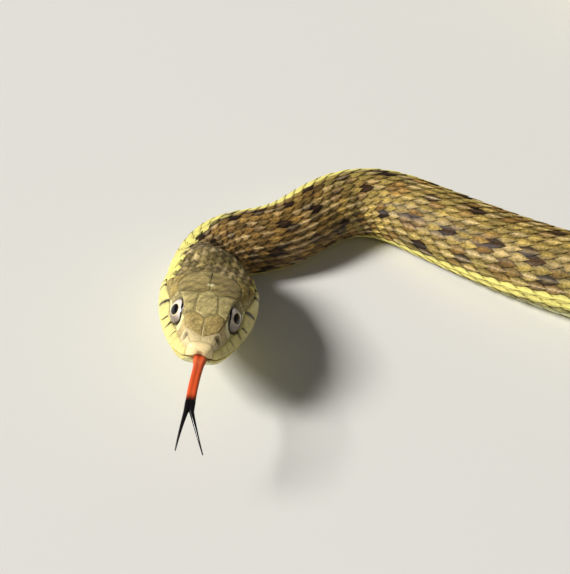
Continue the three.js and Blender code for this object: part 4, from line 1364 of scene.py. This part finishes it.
def tinted(name, roughness, gloss, grain, bump, speckle=0.2):
    """Finish of the hide: each piece's own tint, broken up by two sizes of speckle where it is
    dark, with roughness that varies and a fine grain in the surface. Grain is in grains per
    metre."""
    material, tree, shader = new_material(name)
    place = tree.nodes.new("ShaderNodeTexCoord").outputs["Object"]
    colour = tint_node(tree)

    def added(kind, output, **inputs):
        node = tree.nodes.new(kind)
        set_inputs(tree, node, {key.replace("_", " "): value for key, value in inputs.items()})
        return node.outputs[output]

    def noise(scale, detail):
        return added("ShaderNodeTexNoise", "Fac", Vector=place, Scale=scale, Detail=detail)

    def ranged(value, low, high):
        return added("ShaderNodeMapRange", "Result", Value=value, From_Min=0.3, From_Max=0.7,
                     To_Min=low, To_Max=high)

    fine = noise(grain, 3)
    dark = ranged(added("ShaderNodeSeparateColor", "Green", Color=colour), 1, 0.3)
    for value, strength in ((fine, speckle), (noise(grain / 5, 2), speckle * 0.8)):
        blend = tree.nodes.new("ShaderNodeMix")
        blend.data_type = "RGBA"
        blend.blend_type = "MULTIPLY"
        level = ranged(value, 1 - strength, 1 + strength)
        grey = added("ShaderNodeCombineColor", "Color", Red=level, Green=level, Blue=level)
        set_inputs(tree, blend, {"Factor": dark, "A": colour, "B": grey})
        colour = blend.outputs["Result"]
    rough = ranged(noise(grain / 3, 2), roughness - 0.08, roughness + 0.08)
    relief = added("ShaderNodeBump", "Normal", Strength=bump, Distance=0.0001, Height=fine)
    set_inputs(tree, shader, {"Base Color": colour, "Roughness": rough, "Normal": relief,
                              "Specular IOR Level": gloss})
    return material


def wet(name, roughness):
    """Smooth wet finish under a clear layer, in the piece's own tint."""
    material, tree, shader = new_material(name)
    set_inputs(tree, shader, {
        "Base Color": tint_node(tree), "Roughness": roughness, "Specular IOR Level": 0.15,
        "Coat Weight": 0.8, "Coat Roughness": 0.04, "Coat IOR": 1.4})
    return material


def add_object(scene, name, data):
    """An object for some data, in the scene."""
    thing = bpy.data.objects.new(name, data)
    scene.collection.objects.link(thing)
    return thing


SHARP_ANGLE = np.radians(50)


def make_piece(name, points, polygons, tints, finish, slot, corners=None):
    """A mesh from points in millimetres, faces grouped by their number of corners and a colour
    for each point; corners are places on the map of the same faces."""
    mesh = bpy.data.meshes.new(name)
    mesh.vertices.add(len(points))
    mesh.vertices.foreach_set("co", (np.asarray(points) * MM).ravel().astype(np.float32))
    indices = np.concatenate([faces.ravel() for faces in polygons]).astype(np.int32)
    widths = np.concatenate([np.full(len(faces), faces.shape[1]) for faces in polygons])
    mesh.loops.add(len(indices))
    mesh.loops.foreach_set("vertex_index", indices)
    mesh.polygons.add(len(widths))
    mesh.polygons.foreach_set("loop_start", (np.cumsum(widths) - widths).astype(np.int32))
    mesh.polygons.foreach_set("use_smooth", np.ones(len(widths), bool))
    if corners is not None:
        layer = mesh.uv_layers.new(name="OFBake")
        layer.data.foreach_set("uv", np.concatenate(corners).ravel().astype(np.float32))
    tint = mesh.color_attributes.new("Tint", "FLOAT_COLOR", "POINT")
    tint.data.foreach_set("color", np.hstack([tints, np.ones((len(tints), 1))]).ravel())
    mesh.update(calc_edges=True)
    if mesh.validate(verbose=False):
        raise RuntimeError(f"{name} has faces that aren't sound")
    mesh.set_sharp_from_angle(angle=SHARP_ANGLE)
    mesh.materials.append(finish)
    piece = add_object(bpy.context.scene, name, mesh)
    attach(piece, "root")
    return piece


class SNAKE_OT_skin(bpy.types.Operator):
    """Build the skin under the shields and scales, from the snout to the tail's tip"""
    bl_idname = "snake.skin"
    bl_label = "Skin"

    def execute(self, context):
        colours = colour_table(context.scene)
        finish = tinted("Skin between the scales", roughness=0.6, gloss=0.3, grain=3000, bump=0.3)
        piece = make_piece("skin", *skin(colours), finish, "body_scales")
        flesh = [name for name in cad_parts
                 if name in ("head", "lower_jaw", "neck") or name.startswith(("body_", "tail_"))]
        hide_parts(*flesh)
        return {"FINISHED"}


class SNAKE_OT_shields(bpy.types.Operator):
    """Build the large shields of the head and the plates of both lips"""
    bl_idname = "snake.shields"
    bl_label = "Head shields"

    def execute(self, context):
        colours = colour_table(context.scene)
        finish = tinted("Head shields", roughness=0.46, gloss=0.4, grain=3500, bump=0.25, speckle=0.3)
        make_piece("head_shields", *head_plates(colours), finish, "head_shields")
        return {"FINISHED"}


class SNAKE_OT_scales(bpy.types.Operator):
    """Build the keeled scales of neck, body and tail, as one piece to a stretch"""
    bl_idname = "snake.scales"
    bl_label = "Scales"

    def execute(self, context):
        sizes, colours = context.scene.snake_sizes, colour_table(context.scene)
        finish = tinted("Scales", roughness=0.55, gloss=0.3, grain=2600, bump=0.25, speckle=0.45)
        vent = int(ring_of(VENT) - SCALE_FRONT_RING)
        last = int(ring_of(TOTAL_LENGTH) - SCALE_FRONT_RING)
        cuts = np.linspace(-SCALE_FRONT_RING, vent, sizes.pieces + 1).astype(int)
        stretches = [(f"body_scales_{k + 1}", "body_scales", cuts[k], cuts[k + 1])
                     for k in range(sizes.pieces)]
        for name, slot, start, end in [*stretches, ("tail_scales", "tail_scales", vent, last)]:
            *part, corners = scale_rows(start, end, sizes, colours)
            make_piece(name, *part, finish, slot, corners)
        return {"FINISHED"}


class SNAKE_OT_underside(bpy.types.Operator):
    """Build the plates across the belly and the paired plates under the tail"""
    bl_idname = "snake.underside"
    bl_label = "Belly and tail plates"

    def execute(self, context):
        colours = colour_table(context.scene)
        finish = tinted("Belly plates", roughness=0.38, gloss=0.5, grain=2000, bump=0.1)
        make_piece("belly_plates", *belly_plates(colours), finish, "body_scales")
        make_piece("tail_plates", *tail_plates(colours), finish, "tail_scales")
        return {"FINISHED"}


class SNAKE_OT_eyes(bpy.types.Operator):
    """Build the two eyes"""
    bl_idname = "snake.eyes"
    bl_label = "Eyes"

    def execute(self, context):
        colours, finish = colour_table(context.scene), wet("Eye", 0.25)
        for side, name in zip(SIDES, ("left", "right")):
            piece = make_piece(f"eyeball_{name}", *eye(side, colours), finish, "eye")
            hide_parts(f"eye_{name}")
        return {"FINISHED"}


class SNAKE_OT_tongue(bpy.types.Operator):
    """Build the forked tongue"""
    bl_idname = "snake.tongue"
    bl_label = "Tongue"

    def execute(self, context):
        colours, finish = colour_table(context.scene), wet("Tongue", 0.35)
        piece = make_piece("forked_tongue", *tongue(colours), finish, "tongue_flesh")
        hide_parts("tongue")
        return {"FINISHED"}


# Camera: looks down at the head from the front, turned a little about its line of sight; the
# pixel of the photo's frame that the target shows at
CAMERA_ELEVATION = np.radians(42)
CAMERA_ROLL = np.radians(9)
CAMERA_DISTANCE = 650.0
MM_PER_PIXEL = 0.1465
IMAGE_PIXELS = (570, 574)
TARGET_PIXEL = (205.4, 316.5)
CAMERA_TARGET = (-184.11, -95.03, 14.19)
SENSOR = 36.0
# Floor and lights, in metres; the directions that the lights come from
FLOOR_SIZE = 8.0
KEY_FROM = (-0.85, -0.3, 0.68)
FILL_FROM = (0.8, -0.6, 0.7)
LIGHT_DISTANCE = 6.0
KEY_WIDTH = 1.6
FILL_WIDTH = 6.0
SKY = 0.1


def build_floor(scene):
    """A plain square, wide enough to fill the view."""
    half = FLOOR_SIZE / 2
    mesh = bpy.data.meshes.new("floor")
    corners = [(-half, -half, 0), (half, -half, 0), (half, half, 0), (-half, half, 0)]
    mesh.from_pydata(corners, [], [(0, 1, 2, 3)])
    floor = add_object(scene, "floor", mesh)
    material, tree, shader = new_material("Floor")
    set_inputs(tree, shader, {"Base Color": (*linear(scene.snake_colours.floor), 1),
                              "Roughness": 1.0, "Specular IOR Level": 0.1})
    mesh.materials.append(material)


def build_camera(scene):
    """The camera stands back from the target along its line of sight, and is moved sideways in
    its own picture plane until the target shows at its pixel."""
    level, steep = np.cos(CAMERA_ELEVATION), np.sin(CAMERA_ELEVATION)
    back = np.array([0, -level, steep])
    right = np.array([1.0, 0, 0])
    up = np.cross(right, -back)
    across = np.cos(CAMERA_ROLL) * right + np.sin(CAMERA_ROLL) * up
    upward = -np.sin(CAMERA_ROLL) * right + np.cos(CAMERA_ROLL) * up
    aside = (TARGET_PIXEL[0] - IMAGE_PIXELS[0] / 2) * MM_PER_PIXEL
    below = (TARGET_PIXEL[1] - IMAGE_PIXELS[1] / 2) * MM_PER_PIXEL
    place = np.array(CAMERA_TARGET) + back * CAMERA_DISTANCE - across * aside + upward * below
    lens = bpy.data.cameras.new("camera")
    lens.sensor_width = SENSOR
    lens.lens = SENSOR * CAMERA_DISTANCE / (MM_PER_PIXEL * max(IMAGE_PIXELS))
    lens.clip_end = 10
    camera = add_object(scene, "camera", lens)
    turns = np.stack([across, upward, back], 1)
    camera.matrix_world = Matrix(
        [(*row, at * MM) for row, at in zip(turns, place)] + [(0, 0, 0, 1)])
    scene.camera = camera


def build_lights(scene):
    """Two square soft lights that face the camera's target, and an even pale sky."""
    sizes = scene.snake_sizes
    for name, toward, power, width in (("key", KEY_FROM, sizes.key_light, KEY_WIDTH),
                                       ("fill", FILL_FROM, sizes.fill_light, FILL_WIDTH)):
        lamp = bpy.data.lights.new(name, "AREA")
        lamp.energy = power
        lamp.size = width
        toward = Vector(toward)
        place = Vector(CAMERA_TARGET) * MM + toward.normalized() * LIGHT_DISTANCE
        turn = toward.to_track_quat("Z", "Y")
        add_object(scene, name, lamp).matrix_world = Matrix.LocRotScale(place, turn, None)
    scene.world = bpy.data.worlds.new("Sky")
    scene.world.use_nodes = True
    tree = scene.world.node_tree
    set_inputs(tree, tree.nodes["Background"], {"Color": (1, 1, 1, 1), "Strength": SKY})


class SNAKE_OT_stage(bpy.types.Operator):
    """Build the pale floor, the camera and the soft lights"""
    bl_idname = "snake.stage"
    bl_label = "Stage"

    def execute(self, context):
        build_floor(context.scene)
        build_camera(context.scene)
        build_lights(context.scene)
        context.scene.view_settings.view_transform = "Standard"
        return {"FINISHED"}


OPERATORS = (SNAKE_OT_skin, SNAKE_OT_shields, SNAKE_OT_scales, SNAKE_OT_underside, SNAKE_OT_eyes,
             SNAKE_OT_tongue, SNAKE_OT_stage)


class SNAKE_PT_panel(bpy.types.Panel):
    """Lists the steps that build the snake"""
    bl_idname = "SNAKE_PT_panel"
    bl_label = "Garter snake"
    bl_space_type = "VIEW_3D"
    bl_region_type = "UI"
    bl_category = "Snake"

    def draw(self, context):
        for operator in OPERATORS:
            self.layout.operator(operator.bl_idname)
        for group in (context.scene.snake_sizes, context.scene.snake_colours):
            for name in type(group).__annotations__:
                self.layout.prop(group, name)


CLASSES = (SnakeColours, SnakeSizes, *OPERATORS, SNAKE_PT_panel)


def register():
    """Makes the classes known, and gives each scene its colours and sizes."""
    for cls in CLASSES:
        bpy.utils.register_class(cls)
    bpy.types.Scene.snake_colours = PointerProperty(type=SnakeColours)
    bpy.types.Scene.snake_sizes = PointerProperty(type=SnakeSizes)


def unregister():
    """Takes away what register made."""
    del bpy.types.Scene.snake_sizes
    del bpy.types.Scene.snake_colours
    for cls in reversed(CLASSES):
        bpy.utils.unregister_class(cls)


def main():
    """Registers the add-on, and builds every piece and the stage."""
    register()
    bpy.ops.snake.skin()
    bpy.ops.snake.shields()
    bpy.ops.snake.scales()
    bpy.ops.snake.underside()
    bpy.ops.snake.eyes()
    bpy.ops.snake.tongue()
    bpy.ops.snake.stage()


if __name__ == "__main__":
    main()
